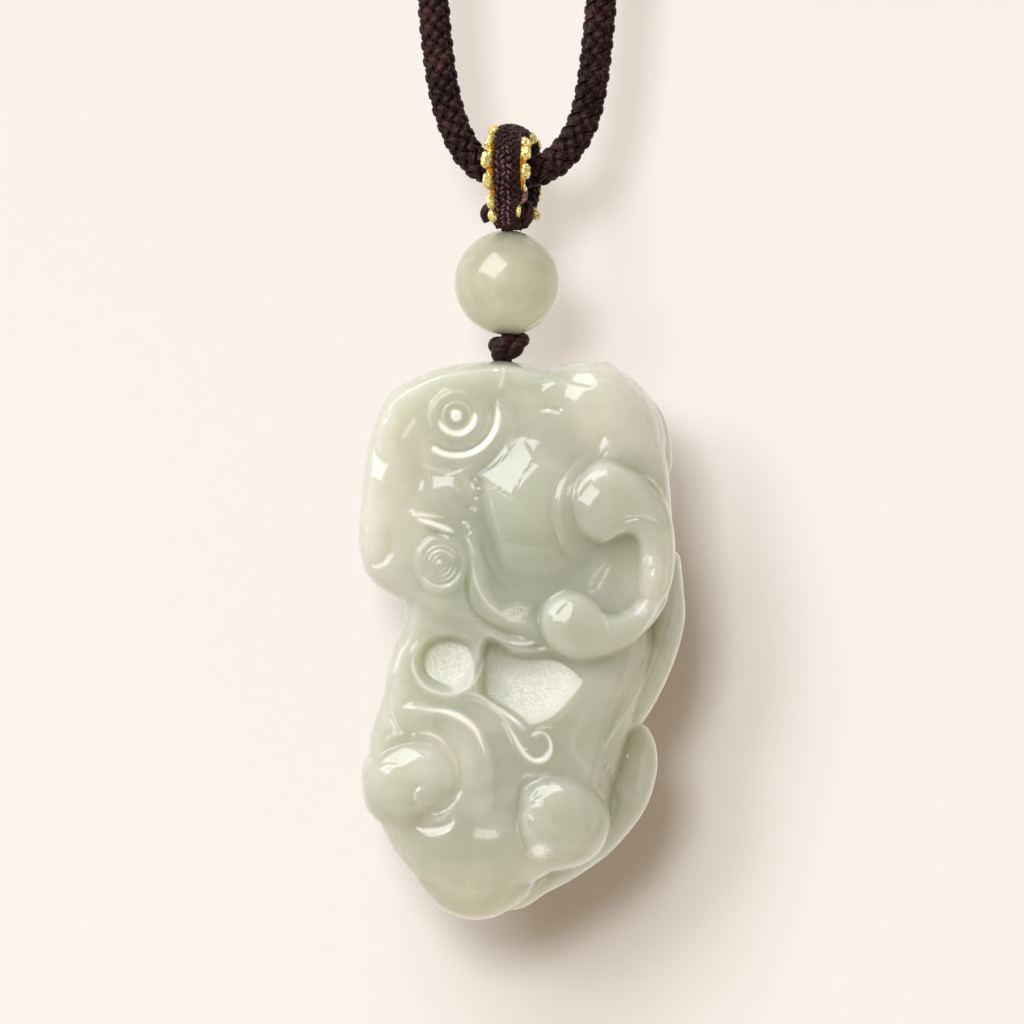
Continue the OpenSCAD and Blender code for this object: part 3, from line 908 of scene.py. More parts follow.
def stone_pads():
    return [
        # head
        pad(rim(11, (487, 361), (443, 367), (409, 381), (388, 395), (377, 416), (370, 439), (365, 464),
                    (361, 501), (358, 537), (361, 556), (365, 572), (379, 588), (397, 599), (412, 606),
                    (450, 622), (489, 632), (530, 642), (575, 648), (620, 640), (650, 615), (668, 580),
                    (672, 530), (668, 470), (655, 410), (635, 384), (604, 372), (570, 375), (548, 371),
                    (522, 363)),
            mid=0.0, front=6.6, back=6.9, full=2.0, blend=4),
        # forehead
        pad(np.maximum(oval(pad_x, pad_y, 537, 508, 93, 99),
                       rim(22, (503, 398), (502, 425), (492, 450), (476, 472), (474, 495), (477, 520),
                           (485, 545),
                           (490, 562), (501, 582), (519, 596), (537, 598), (557, 592), (580, 578), (600, 550),
                           (612, 500), (610, 450), (590, 415), (560, 402), (530, 396))),
            mid=-1.2, front=7.4, back=3.0, blend=12),
        # mane
        pad(outline((545, 373), (570, 363), (603, 363), (632, 378), (652, 400), (664, 430), (664, 462),
                    (650, 490), (620, 500), (588, 482), (566, 452), (548, 420), (538, 392)),
            mid=0.0, front=6.9, back=6.9, full=2.4, blend=4),
        # rim behind the mane
        pad(outline((604, 361), (638, 385), (657, 404), (668, 425), (672, 450), (671, 470), (655, 500),
                    (620, 470), (600, 400)), mid=2.5, front=4.2, back=4.5, full=1.3, blend=4),
        # horn
        pad(outline((595, 462), (583, 469), (572, 481), (566, 496), (567, 514), (575, 531), (589, 542),
                    (605, 543), (618, 537), (629, 535), (636, 543), (638, 557), (637, 575), (637, 592),
                    (645, 603), (658, 601), (668, 590), (673, 568), (674, 545), (672, 525), (667, 508),
                    (657, 491), (643, 476), (625, 466), (610, 461)), mid=-6.0, front=2.6, back=3.4, full=2.5,
            blend=2),
        # curl under the ear
        pad(outline((538, 614), (545, 600), (562, 590), (580, 590), (594, 598), (604, 610), (618, 612),
                    (631, 605), (640, 595), (651, 586), (664, 586), (667, 598), (659, 614), (648, 628),
                    (631, 644),
                    (606, 657), (577, 661), (557, 654), (541, 638)), mid=-5.6, front=3.0, back=3.2, full=1.9,
            blend=2),
        # body
        pad(rim(12 + 26 * smooth((pad_x - 530) / 80), (407, 600), (403, 625), (395, 644), (388, 667),
                    (383, 696), (374, 722), (369, 745),
                    (372, 800), (400, 860), (440, 890), (500, 895), (560, 868), (600, 835), (615, 790),
                    (628, 740), (645, 690), (655, 640), (640, 590), (580, 550), (480, 540), (425, 560)),
            mid=0.0, front=6.5, back=7.0, full=2.0, blend=4),
        # tail laid along the back
        pad(arm((672, 560, 9), (671, 590, 13), (668, 620, 17), (656, 660, 18), (636, 703, 17),
                (612, 738, 14), (596, 765, 9)), mid=1.5, front=4.0, back=4.5, full=1.0, blend=3),
        # rear foot
        pad(outline((590, 775), (606, 745), (628, 726), (645, 726), (655, 742), (658, 764), (654, 788),
                    (645, 811), (627, 836), (604, 859), (570, 882), (547, 894), (520, 910), (495, 905),
                    (520, 860), (570, 820)), mid=2.5, front=4.6, back=4.6, full=1.2, blend=5),
        # haunch
        pad(outline((398, 708), (440, 700), (472, 710), (495, 732), (508, 765), (511, 800), (503, 835),
                    (470, 842), (430, 842), (395, 830), (376, 800), (372, 760), (380, 728)),
            mid=-1.5, front=4.7, back=4.0, full=2.4, blend=4),
        # left foot, one lobe as far as its spiral
        pad(outline((362, 774), (367, 756), (383, 743), (405, 736), (430, 734), (447, 741), (458, 756),
                    (461, 774), (457, 793), (446, 808), (430, 818), (413, 828), (395, 832), (378, 821),
                    (365, 803)), mid=-1.5, front=6.3, back=4.0, full=2.3, blend=3),
        # round foot at the bottom
        pad(outline((393, 828), (401, 848), (411, 871), (425, 892), (441, 908), (464, 918), (482, 919),
                    (501, 914), (521, 901), (535, 885), (545, 850), (530, 800), (480, 775), (410, 780)),
            mid=-0.6, front=6.3, back=5.2, full=2.6, blend=5),
        # right foot
        pad(outline((513, 790), (522, 774), (542, 768), (570, 768), (592, 778), (606, 798), (611, 820),
                    (603, 846), (584, 863), (560, 870), (540, 872), (522, 856), (511, 825)),
            mid=-1.5, front=6.4, back=5.0, full=2.2, blend=3),
    ]


# Small flats that the carver polished, each tilted up and to the left
FLATS = [
    [(522, 439), (533.5, 459), (519.5, 477), (511.5, 496), (498.5, 487), (478, 475), (497, 466), (510, 452)],
    [(590, 481), (600, 493), (594, 501), (589, 508), (578, 502), (581, 491)],
    [(567, 601), (573, 609), (571, 616), (565, 623), (554, 620), (558, 610)],
    [(575, 373), (590, 373), (597, 379), (591, 388), (570, 384)],
    [(537, 384), (548, 382), (560, 384.5), (552, 388), (545, 391)],
    [(603, 431), (607, 438), (606, 448), (599, 457), (598, 446)],
    [(430.5, 472.5), (441, 475.5), (456, 476.5), (455, 484), (460, 493), (450, 487.5), (433, 487.5)],
    [(375.5, 446), (379.5, 456), (389.5, 466), (383, 484), (371, 477), (373.5, 458)],
    [(388, 408), (389.5, 414), (381, 430), (384, 416)],
    [(366, 520), (368.5, 525), (368.5, 537), (365, 529)],
    [(381, 762), (393, 750), (407, 744), (418, 748), (430, 757), (415, 756), (403, 762), (388, 761)],
    [(530, 798), (538, 787), (554, 780), (561, 782), (566, 790), (550, 790)],
    [(649, 567), (655, 566), (653, 577), (649, 579)],
    [(603, 764), (608, 762), (610, 767), (606, 771)],
]
FLAT_RIGHT = 0.30
FLAT_DOWN = 0.36
FLAT_LIMIT = 5


class Relief:
    """Carving on one face of the stone: its height in millimetres towards the viewer, how pale it is
    painted along the cuts, partly the wheel's pale and partly painted highlights, and how frosted it
    is. A part to carve is rows for each of the cuts below."""

    def __init__(self, *parts):
        self.height, self.pale, self.frost = (np.zeros(fine_x.shape) for _ in range(3))
        for part in parts:
            for cut, rows in part.items():
                for row in rows:
                    cut(self, *row)

    def window(self, points, margin):
        """The part of the chart within a margin of some points."""
        points = np.asarray(points, float)
        low, high = (np.clip(v - (CHART_LEFT, CHART_TOP), 0, fine_x.shape[::-1]).astype(int)
                     for v in (points.min(0) - margin, points.max(0) + margin + 2))
        place = (slice(low[1], high[1]), slice(low[0], high[0]))
        return place, fine_x[place], fine_y[place]

    def beside(self, points, margin, ends):
        """For places near a path: distance to it, side of it, and a share that fades at its ends."""
        path = curve_through(points, steps=7)
        place, gx, gy = self.window(path, margin)
        d, side, share = nearest_on(gx, gy, path)
        return place, d, side, smooth(share / ends[0]) * smooth((1 - share) / ends[1])

    def line(self, points, width, height, ends=(0.2, 0.2)):
        """A rounded ridge, or a groove where the height is negative, fading at its ends."""
        place, d, _, fade = self.beside(points, 3 * width, ends)
        self.height[place] += height * np.exp(-(d / width) ** 2) * fade

    def pale_cut_and_glint_line(self, points, width, share, ends=(0.15, 0.15)):
        """A pale line along a cut, partly the pale the wheel left and partly a painted highlight: its width
        in pixels, tapering at its ends.
        """
        place, d, _, taper = self.beside(points, 2 * width, ends)
        mark = share * smooth((width / 2 * taper - d) / 2 + 0.5) * smooth(4 * taper)
        self.pale[place] = np.maximum(self.pale[place], mark)

    def pale_cut_and_glint_ring(self, x, y, radius, width, start, end, share, ends=(0.15, 0.15)):
        """A pale line round a centre, partly a cut and partly a painted highlight, between two angles in
        degrees, clockwise from the right.
        """
        turn = np.radians(np.linspace(start, end, 12))
        points = np.stack([x + radius * np.cos(turn), y + radius * np.sin(turn)], -1)
        self.pale_cut_and_glint_line(points, width, share, ends)

    def frosted(self, points, edge=3.0, share=1.0):
        """A patch ground but not polished; the material makes it paler in grains, partly painted sparkle."""
        path = curve_through(points, True, 4)
        place, gx, gy = self.window(path, 2 * edge)
        d = depth_within(gx, gy, path)[1]
        self.frost[place] = np.maximum(self.frost[place], share * smooth(0.5 + d / (2 * edge)))

    def step(self, points, width, height, reach, ends):
        """The ground to the right of the path is raised, and eases back over the reach."""
        place, d, side, fade = self.beside(points, 2.6 * reach, ends)
        s = d * side
        self.height[place] += (height * smooth((s + width) / (2 * width))
                               * np.exp(-(np.maximum(s, 0) / reach) ** 2) * fade)

    def bump(self, x, y, half_w, half_h, turn, height, sharp=2.0):
        """A round swelling or, where the height is negative, a hollow."""
        place, gx, gy = self.window([(x, y)], max(half_w, half_h))
        self.height[place] += height * np.clip(1 - oval(gx, gy, x, y, half_w, half_h, turn), 0, 1) ** sharp

    def facet(self, points, right, down, edge, limit, lift=0.0):
        """A flat cut that comes nearer by the given slopes and meets the ground at its far corner."""
        path = curve_through(points, True, 4)
        place, gx, gy = self.window(path, edge)
        d = depth_within(gx, gy, path)[1]
        x, y = path.max(0)
        rise = (gx - x) * right + (gy - y) * down
        reach = ((path - (x, y)) * (right, down)).sum(1).max()
        depth = np.maximum(reach - rise, 0) / PX_PER_MM
        self.height[place] += (lift - limit * np.tanh(depth / limit)) * smooth(0.5 + d / (2 * edge))

    def rings(self, x, y, profile, squash=1.0, sector=None):
        """Turned rings: rows of radius and height. A sector is its middle, half width and fade in degrees."""
        place, gx, gy = self.window([(x, y)], profile[-1][0] * max(squash, 1))
        r = np.hypot(gx - x, (gy - y) / squash)
        out = np.zeros(gx.shape)
        for (r0, h0), (r1, h1) in zip(profile[:-1], profile[1:]):
            out = np.where((r >= r0) & (r < r1), h0 + (h1 - h0) * smooth((r - r0) / (r1 - r0)), out)
        if sector:
            middle, half, fade = sector
            off = np.abs((np.degrees(np.arctan2(gy - y, gx - x)) - middle + 180) % 360 - 180)
            out = out * smooth((half + fade - off) / fade)
        self.height[place] += out


# The front's carving. Each row holds what its cut above takes, in the same order, in photo pixels,
# and heights in millimetres. The pale lines are partly painted highlights.

EYES = {
    Relief.rings: [
        (457, 416.5, [(0, 0.3), (3, 0.26), (6.5, 0.02), (8, -0.04), (11, 0.02), (12.5, 0.05), (14, -0.02),
         (15, -0.03), (21, 0.2), (23, 0.21), (25.5, 0.14), (27.5, 0.17), (30, 0.1), (38, 0.0)]),
        (457, 415, [(30, 0.0), (36.5, -0.05), (44, 0.25), (47, 0.26), (50, 0.18), (52, 0.21), (62, 0.0)],
         1.0, (58, 62, 26)),
        (441.5, 563.5, [(0, 0.2), (3, 0.14), (5, 0.0), (7, 0.09), (9, -0.03), (11.5, 0.12), (13.5, -0.02),
         (16, 0.1), (18.5, 0.02), (22.5, 0.24), (25, 0.15), (28, -0.06), (34, 0.0)], 1.1),
    ],
    Relief.pale_cut_and_glint_ring: [
        (457, 416.5, 3, 5, 0, 360, 0.8, (0.01, 0.01)),
        (457, 416.5, 14, 1.6, 0, 360, 0.35, (0.01, 0.01)),
        (457, 416, 18, 5.6, -15, 175, 0.85, (0.12, 0.2)),
        (457, 415, 41, 5.6, -18, 128, 0.88, (0.16, 0.03)),
        (457, 416.5, 24, 1.5, 190, 300, 0.35),
        (457, 416.5, 27, 2.0, 150, 265, 0.4),
        (457, 415, 33, 1.6, -10, 150, 0.3),
        (457, 415, 60, 1.8, 15, 62, 0.35),
        (441.5, 563.5, 13, 1.8, 225, 340, 0.5),
        (441.5, 563.5, 18, 1.8, 215, 330, 0.4),
        (441.5, 563.5, 22, 2.2, 60, 150, 0.45),
    ],
    Relief.line: [
        ([(408, 511), (425, 515), (449, 518)], 2.6, 0.26, (0.2, 0.4)),
        ([(414, 518), (434, 524), (459, 534)], 3.2, 0.36, (0.2, 0.4)),
        ([(410, 524), (434, 532), (458, 543)], 2.6, -0.25, (0.3, 0.4)),
    ],
    Relief.pale_cut_and_glint_line: [
        ([(411, 514), (426, 515), (448, 518)], 3.0, 0.75, (0.1, 0.6)),
        ([(415, 518), (435, 524), (458, 533)], 4.6, 0.9, (0.3, 0.3)),
    ],
}

FACE = {
    Relief.frosted: [
        ([(503, 612), (512, 603), (530, 606), (524, 617), (511, 621)], 2.0),
    ],
    Relief.bump: [
        (452, 497, 38, 27, 8, 0.3, 1.2),
        (474, 478, 3.5, 4.5, 30, -0.2),
        (477, 487, 3.5, 4.5, 30, -0.2),
        (475, 497, 3.5, 4.5, 30, -0.2),
        (470, 507, 3.5, 4.5, 30, -0.2),
        (463, 520, 3.5, 4.5, 30, -0.2),
        (469, 530, 3.5, 4.5, 30, -0.2),
        (394, 474, 22, 34, -8, 0.35, 1.3),
        (390, 424, 13, 26, 12, 0.2, 1.5),
        (376, 538, 14, 20, 0, 0.15, 1.2),
        (432, 603, 30, 14, 20, 0.2),
        (440, 780, 62, 62, 0, 0.35),
        (601, 404, 40, 36, 0, 0.38, 1.0),
        (608, 450, 11, 22, 0, 0.2, 1.2),
    ],
    Relief.line: [
        ([(419, 462), (438, 469), (456, 470), (474, 462)], 3.0, -0.22, (0.25, 0.25)),
        ([(413, 398), (419, 410), (409, 428), (402, 445), (413, 463), (417, 480), (413, 497), (402, 511)],
          7, -0.11),
        ([(387, 519), (391, 545), (383, 561), (364, 562)], 4, -0.25, (0.3, 0.2)),
        ([(463, 528), (472, 545), (477, 565), (481, 585), (492, 604), (512, 618), (535, 624), (552, 620)],
          6.5, 0.5),
        ([(470, 562), (467, 585), (471, 606), (487, 622), (508, 632), (530, 637)], 3.0, -0.5),
        ([(478, 536), (486, 560), (497, 580), (512, 598)], 2.6, -0.19),
        ([(592, 452), (575, 461), (561, 478), (554, 497), (553, 517), (558, 541), (570, 560)], 3.2, -0.25,
          (0.2, 0.15)),
        ([(589, 459), (572, 470), (563, 488), (560, 513), (566, 536), (578, 552)], 4.0, 0.1),
        ([(538, 410), (550, 407), (566, 410)], 2.6, -0.19, (0.3, 0.3)),
        ([(497, 364), (500, 376), (500, 388), (495, 398)], 3.2, 0.19, (0.2, 0.3)),
        ([(500, 384), (520, 390), (545, 388), (566, 378)], 4.5, -0.15, (0.3, 0.3)),
        ([(600, 432), (604, 444), (601, 458)], 5, -0.22, (0.3, 0.3)),
        ([(621, 372), (640, 386), (655, 404), (664, 425), (667, 448), (665, 470)], 3.4, 0.1),
        ([(617, 378), (634, 391), (649, 407), (657, 427), (659, 450), (656, 470)], 4, -0.1),
    ],
    Relief.pale_cut_and_glint_line: [
        ([(471, 483), (475, 490)], 2.2, 0.8),
        ([(474, 507), (476, 512)], 2.2, 0.8),
        ([(465, 521), (470, 529)], 2.2, 0.8),
        ([(539, 412), (550, 412), (561, 415)], 2.8, 0.7),
        ([(473, 562), (476, 580), (486, 600), (506, 616), (530, 622)], 2.0, 0.45),
        ([(508, 641), (522, 643), (536, 641)], 3.2, 0.7),
        ([(561, 476), (554, 500), (555, 525), (563, 549)], 2.0, 0.25),
        ([(573.5, 481), (569, 489), (567, 497)], 1.8, 0.7),
        ([(422, 463), (434, 469), (454, 471)], 3.0, 0.35),
        ([(417, 418), (409, 430), (403, 441)], 3.4, 0.4),
        ([(621, 372), (632, 385), (645, 399), (653, 413), (657, 428), (658, 450)], 2.0, 0.6),
        ([(624, 373), (641, 384), (655, 400), (664, 425), (667, 455)], 1.8, 0.4),
        ([(503, 365), (503, 378), (499, 390)], 1.8, 0.5),
    ],
}

EAR = {
    Relief.frosted: [
        ([(633, 606), (640, 602), (646, 607), (643, 614), (635, 614)], 2.5),
    ],
    Relief.bump: [
        (618, 570, 27, 38, 15, -0.35, 1.4),
        (650, 575, 10, 22, 8, 0.35, 1.2),
    ],
    Relief.line: [
        ([(613, 530), (624, 520), (640, 517), (654, 523), (663, 534)], 2.6, -0.17, (0.3, 0.3)),
        ([(618, 516), (634, 508), (648, 511), (660, 520)], 3.0, 0.1, (0.3, 0.3)),
        ([(594, 600), (602, 610), (609, 622), (612, 636)], 3.2, -0.12, (0.2, 0.35)),
    ],
    Relief.pale_cut_and_glint_line: [
        ([(594, 592), (602, 580), (609, 564)], 2.0, 0.75),
        ([(587, 589), (594, 575), (607, 560)], 1.8, 0.45),
        ([(587, 589), (591, 591), (595, 590)], 1.8, 0.7),
        ([(641, 561), (646, 556), (655, 554)], 1.8, 0.6),
        ([(636, 472), (652, 482), (662, 495), (669, 515), (672, 538), (673, 562), (670, 584), (667, 592),
          (659, 601), (651, 616), (640, 632), (626, 645)], 2.4, 0.6, (0.1, 0.2)),
        ([(548, 600), (556, 594), (566, 589)], 1.8, 0.6),
        ([(592, 600), (601, 612), (609, 630)], 2.6, 0.3),
        ([(622, 517), (640, 516), (658, 522)], 1.6, 0.4),
        ([(600, 543), (614, 534), (626, 528)], 2.4, 0.35),
    ],
}

CHEST = {
    Relief.facet: [
        ([(485, 640), (515, 653), (545, 653), (560, 656), (578, 669), (580, 686), (562, 712), (536, 725),
          (505, 712), (481, 692)], 0.25, 0.32, 5, 2.8, 0.4),
        ([(428, 640), (450, 635), (472, 644), (476, 664), (466, 682), (445, 686), (424, 676), (418, 658)],
          0.24, 0.3, 5, 2.0),
    ],
    Relief.frosted: [
        ([(490, 646), (515, 657), (541, 657), (559, 661), (574, 673), (572, 686), (556, 706), (534, 718),
          (508, 706), (487, 691)], 3, 0.6),
        ([(500, 676), (530, 672), (556, 668), (570, 675), (568, 688), (552, 704), (533, 713), (515, 703)],
          7),
        ([(434, 646), (450, 642), (467, 648), (470, 664), (462, 677), (446, 681), (432, 674), (427, 659)],),
    ],
    Relief.line: [
        ([(484, 630), (505, 641), (528, 646), (552, 645)], 3.0, -0.43, (0.25, 0.2)),
        ([(470, 622), (490, 634), (512, 642), (535, 643)], 3.0, 0.22, (0.3, 0.3)),
        ([(430, 634), (419, 644), (413, 657), (415, 672), (426, 686), (446, 692), (464, 689), (476, 677),
          (482, 664), (480, 648)], 3.2, 0.19, (0.15, 0.1)),
        ([(452, 690), (470, 688), (485, 696), (502, 707), (517, 718), (529, 733)], 3.0, 0.31, (0.3, 0.15)),
        ([(462, 697), (480, 702), (497, 713), (510, 726)], 3.4, -0.22, (0.3, 0.3)),
        ([(498, 715), (507, 729), (515, 744), (524, 755), (535, 760), (546, 756), (551, 746), (548, 737),
          (541, 732), (534, 736), (535, 743)], 2.6, 0.2, (0.25, 0.1)),
        ([(511, 727), (519, 740), (528, 748)], 2.6, -0.19, (0.25, 0.2)),
        ([(406, 640), (400, 655), (394, 675)], 3.0, 0.19, (0.3, 0.3)),
    ],
    Relief.pale_cut_and_glint_line: [
        ([(462, 690), (478, 694), (493, 704), (511, 716), (529, 731)], 3.6, 0.6, (0.3, 0.3)),
        ([(466, 696), (484, 702), (500, 713), (513, 727)], 1.8, 0.5),
        ([(500, 717), (511, 729), (520, 745), (528, 755), (537.5, 759), (546.5, 756), (550.5, 747),
          (549, 737), (543, 731), (536, 733), (534, 740)], 4.0, 0.85, (0.3, 0.4)),
        ([(501, 719), (508, 731), (513, 743)], 1.8, 0.5),
        ([(531, 735), (539, 727), (555, 725.5)], 1.8, 0.4),
        ([(414, 652), (414, 668), (424, 684), (442, 692), (462, 690), (478, 676), (484, 655)], 2.4, 0.55),
        ([(404, 644), (399, 658), (394, 674)], 2.6, 0.6),
        ([(486, 631), (505, 640), (528, 645)], 1.8, 0.45),
    ],
}

LEGS = {
    Relief.step: [
        ([(396, 707), (413, 703), (443, 706), (467, 714), (481, 729), (490, 750), (493, 775), (490, 805),
          (482, 824)], 4.2, 0.36, 34, (0.12, 0.15)),
        ([(556, 871), (540, 860), (528, 846), (522, 830), (522, 812), (530, 802), (543, 801), (552, 808),
          (551, 818), (543, 822), (536, 818)], 2.6, 0.22, 18, (0.15, 0.15)),
    ],
    Relief.frosted: [
        ([(473, 829), (486, 830), (500, 829), (497, 836), (476, 836)], 1.2),
        ([(528, 846), (538, 839), (548, 840), (551, 847), (543, 857), (533, 858), (526, 851)], 3),
    ],
    Relief.line: [
        ([(402, 709), (420, 707), (443, 711), (465, 718), (477, 730), (485, 748), (489, 766), (489, 785)],
          4.2, 0.2, (0.2, 0.3)),
        ([(400, 733), (415, 730), (430, 731), (444, 737), (454, 748), (459, 762), (460, 777), (456, 794),
          (448, 804), (435, 809), (422, 804), (414, 796), (415, 787), (424, 781), (434, 782)], 3.0, -0.13,
          (0.12, 0.1)),
        ([(423, 738), (437, 742), (447, 752), (452, 765), (452, 780), (447, 793), (438, 799), (428, 797)],
          4.0, 0.19),
        ([(430, 722), (450, 728), (464, 742), (471, 760), (471, 780), (466, 800)], 5.0, 0.15, (0.25, 0.3)),
        ([(386, 705), (394, 718), (403, 733)], 3.5, -0.31, (0.3, 0.2)),
        ([(384, 712), (389, 724), (388, 735)], 3.0, 0.19, (0.3, 0.2)),
        ([(522, 775), (519, 795), (518, 815), (522, 836)], 3.0, -0.22, (0.3, 0.3)),
        ([(413, 822), (430, 830), (446, 827), (456, 815)], 3.0, -0.19, (0.3, 0.3)),
        ([(668, 600), (660, 640), (640, 690), (612, 735), (597, 765)], 3, 0.12, (0.2, 0.1)),
        ([(654, 630), (637, 668), (617, 706), (601, 742)], 2.6, -0.25, (0.2, 0.1)),
        ([(676, 610), (667, 652), (648, 695), (622, 732)], 3, -0.25, (0.2, 0.1)),
        ([(602, 760), (612, 778), (618, 802), (612, 828)], 4, -0.37),
        ([(606, 748), (630, 742), (643, 750), (651, 764), (653, 786)], 2.6, -0.22, (0.2, 0.3)),
    ],
    Relief.pale_cut_and_glint_line: [
        ([(407, 707), (430, 708), (448, 710.5), (462, 716), (475, 727), (482, 742), (486, 756), (489, 768)],
          6.0, 0.9, (0.55, 0.6)),
        ([(414, 730), (430, 732), (441, 737), (450, 747)], 2.6, 0.7, (0.4, 0.4)),
        ([(450, 747), (457, 762), (458, 776)], 1.6, 0.3),
        ([(391, 708), (396, 718), (401, 730)], 2.0, 0.45),
        ([(385, 738), (393, 734), (401, 731)], 1.8, 0.45),
        ([(412, 821), (421, 827), (432, 828.5), (445, 826.5), (453, 821), (455, 812)], 6.0, 0.9,
          (0.4, 0.3)),
        ([(425, 817), (436, 817.5), (446, 813), (451, 808)], 1.8, 0.55),
        ([(474, 827), (487, 828), (499, 828)], 1.8, 0.7),
        ([(474, 831.5), (487, 832.5), (498, 832)], 6.5, 0.45, (0.1, 0.1)),
        ([(531, 850), (538, 848), (546, 846)], 11, 0.7, (0.3, 0.3)),
        ([(524, 784), (525, 773), (538, 774), (551, 772)], 2.0, 0.5),
        ([(529, 811), (531, 815), (534, 817)], 2.4, 0.7),
        ([(589, 776), (603, 797), (609, 820), (603, 845), (588, 861), (562, 869), (546, 873)], 2.2, 0.45),
        ([(547, 875), (536, 888), (517, 906)], 2.2, 0.4),
        ([(391, 716), (396, 728), (392, 734)], 2.4, 0.5),
        ([(416, 799), (417, 789), (425, 784)], 2.0, 0.5),
        ([(524, 848), (517, 826), (520, 806)], 1.6, 0.35),
        ([(397, 838), (404, 860), (420, 888), (444, 910)], 1.6, 0.4),
        ([(656, 655), (638, 692), (614, 730), (600, 752)], 1.8, 0.4),
    ],
}

# The back is plain: the mane's edge, the spine, the haunch and the feet, in rows like the front's
BACK_LINES = [
    ([(400, 612), (440, 630), (490, 648), (545, 660), (600, 656), (640, 636)], 6, -0.7, (0.1, 0.1)),
    ([(640, 640), (610, 690), (575, 730), (545, 775), (530, 830)], 9, 0.55),
    ([(385, 740), (410, 712), (450, 706), (485, 724), (500, 760), (494, 800), (466, 824)], 4.5, -0.7,
     (0.15, 0.15)),
    ([(410, 775), (432, 750), (462, 762), (466, 792), (446, 806), (432, 794)], 4, -0.55, (0.15, 0.15)),
    ([(560, 872), (530, 850), (524, 812), (548, 796), (566, 812), (556, 830)], 4, -0.55, (0.15, 0.15)),
    ([(398, 832), (420, 836), (460, 840), (510, 842)], 4.5, -0.5, (0.15, 0.2)),
]
# Curls of the mane on the back: middle and size
BACK_CURLS = [(590, 420, 1.25), (520, 440, 1.0), (610, 510, 1.0), (545, 530, 0.85), (455, 430, 0.8)]
BACK_RIBS = 6


def back_cuts():
    """The rows of the back, with the mane's spirals and the ribs beside the spine."""
    rows = list(BACK_LINES)
    for x, y, size in BACK_CURLS:
        turn = np.linspace(0.3, 3.9 * np.pi, 26)
        reach = 3 + 2.6 * size * turn
        points = np.stack([x + reach * np.cos(turn), y + reach * np.sin(turn)], -1)
        rows.append((points, 3.4, -0.5, (0.1, 0.2)))
    for k in range(BACK_RIBS):
        x, y = 630 - 17 * k, 655 + 27 * k
        rows.append(([(x - 13, y - 8), (x, y), (x + 6, y + 14)], 3.2, -0.35))
    return {Relief.line: rows}


def lookup(chart, x, y):
    """Values of a fine chart between its pixels."""
    u = np.clip(x - CHART_LEFT, 0, chart.shape[1] - 1.001)
    v = np.clip(y - CHART_TOP, 0, chart.shape[0] - 1.001)
    i, j = u.astype(int), v.astype(int)
    fu, fv = u - i, v - j
    return ((chart[j, i] * (1 - fu) + chart[j, i + 1] * fu) * (1 - fv)
            + (chart[j + 1, i] * (1 - fu) + chart[j + 1, i + 1] * fu) * fv)


STONE_DEPTH = 100.0
# The depth at which the front's relief begins, and how much nearer it is whole. The back's is the
# same the other way round.
FRONT_FADE = (10.0, 30.0)
FLAT_LAYER = 4.0
SLOPE_REACH = 1.2
LEAST_SLOPE = 0.05
FARTHEST_MOVE = 2.0


class Stone:
    """The stone as a field: more than 0 inside."""

    def __init__(self):
        self.pads = stone_pads()
        self.face = Relief(EYES, FACE, EAR, CHEST, LEGS)
        self.front = self.face.height * PX_PER_MM
        self.back = Relief(back_cuts()).height * PX_PER_MM
        for points in FLATS:
            self.flatten(np.array(points, float))

    def flatten(self, path):
        """Tilts a small area of the front to one slope, level with the ground at its middle."""
        place, gx, gy = self.face.window(path, 3)
        within = np.zeros(gx.shape)
        for depth in np.arange(0, -STONE_DEPTH, -FLAT_LAYER):
            within = np.where(self.field(gx, gy, np.full(gx.shape, depth)) > 0, depth, within)
        outside = within - FLAT_LAYER
        for _ in range(8):
            middle = (outside + within) / 2
            solid = self.field(gx, gy, middle) > 0
            within, outside = np.where(solid, middle, within), np.where(solid, outside, middle)
        d = depth_within(gx, gy, path)[1]
        x, y = path.mean(0)
        rise = (gx - x) * FLAT_RIGHT + (gy - y) * FLAT_DOWN + within
        rise = np.clip(rise - np.median(rise[d > 0]), -FLAT_LIMIT, FLAT_LIMIT)
        self.front[place] += rise * smooth(0.5 + d / 2.4)

    def field(self, x, y, depth):
        """How far inside the stone each place is, roughly in pixels: the pads blended, and their
        surface moved by the relief."""
        start, over = FRONT_FADE
        depth = (depth + lookup(self.front, x, y) * smooth((start - depth) / over)
                 - lookup(self.back, x, y) * smooth((start + depth) / over))
        total = None
        for p in self.pads:
            off = depth - p["mid"]
            thick = np.where(off < 0, p["front"], p["back"])
            q = np.sqrt(np.maximum(lookup(p["fall"], x, y), 0) ** p["full"] + (off / thick) ** 2)
            f = (1 - q) * p["front"]
            if total is None:
                total = f
                continue
            h = np.clip(0.5 + 0.5 * (f - total) / p["blend"], 0, 1)
            total = total * (1 - h) + f * h + p["blend"] * h * (1 - h)
        return total

    def slope(self, p):
        """How fast the field rises each way."""
        steps = SLOPE_REACH * np.eye(3)
        rise = [self.field(*(p + step).T) - self.field(*(p - step).T) for step in steps]
        return np.stack(rise, -1) / (2 * SLOPE_REACH)

    def settle(self, p, rounds):
        """Moves points onto the surface."""
        for _ in range(rounds):
            g = self.slope(p)
            move = self.field(*p.T)[:, None] * g / np.maximum((g * g).sum(1, keepdims=True), LEAST_SLOPE)
            far = np.linalg.norm(move, axis=1, keepdims=True)
            p = p - move * np.minimum(1, FARTHEST_MOVE / np.maximum(far, 1e-9))
        return p


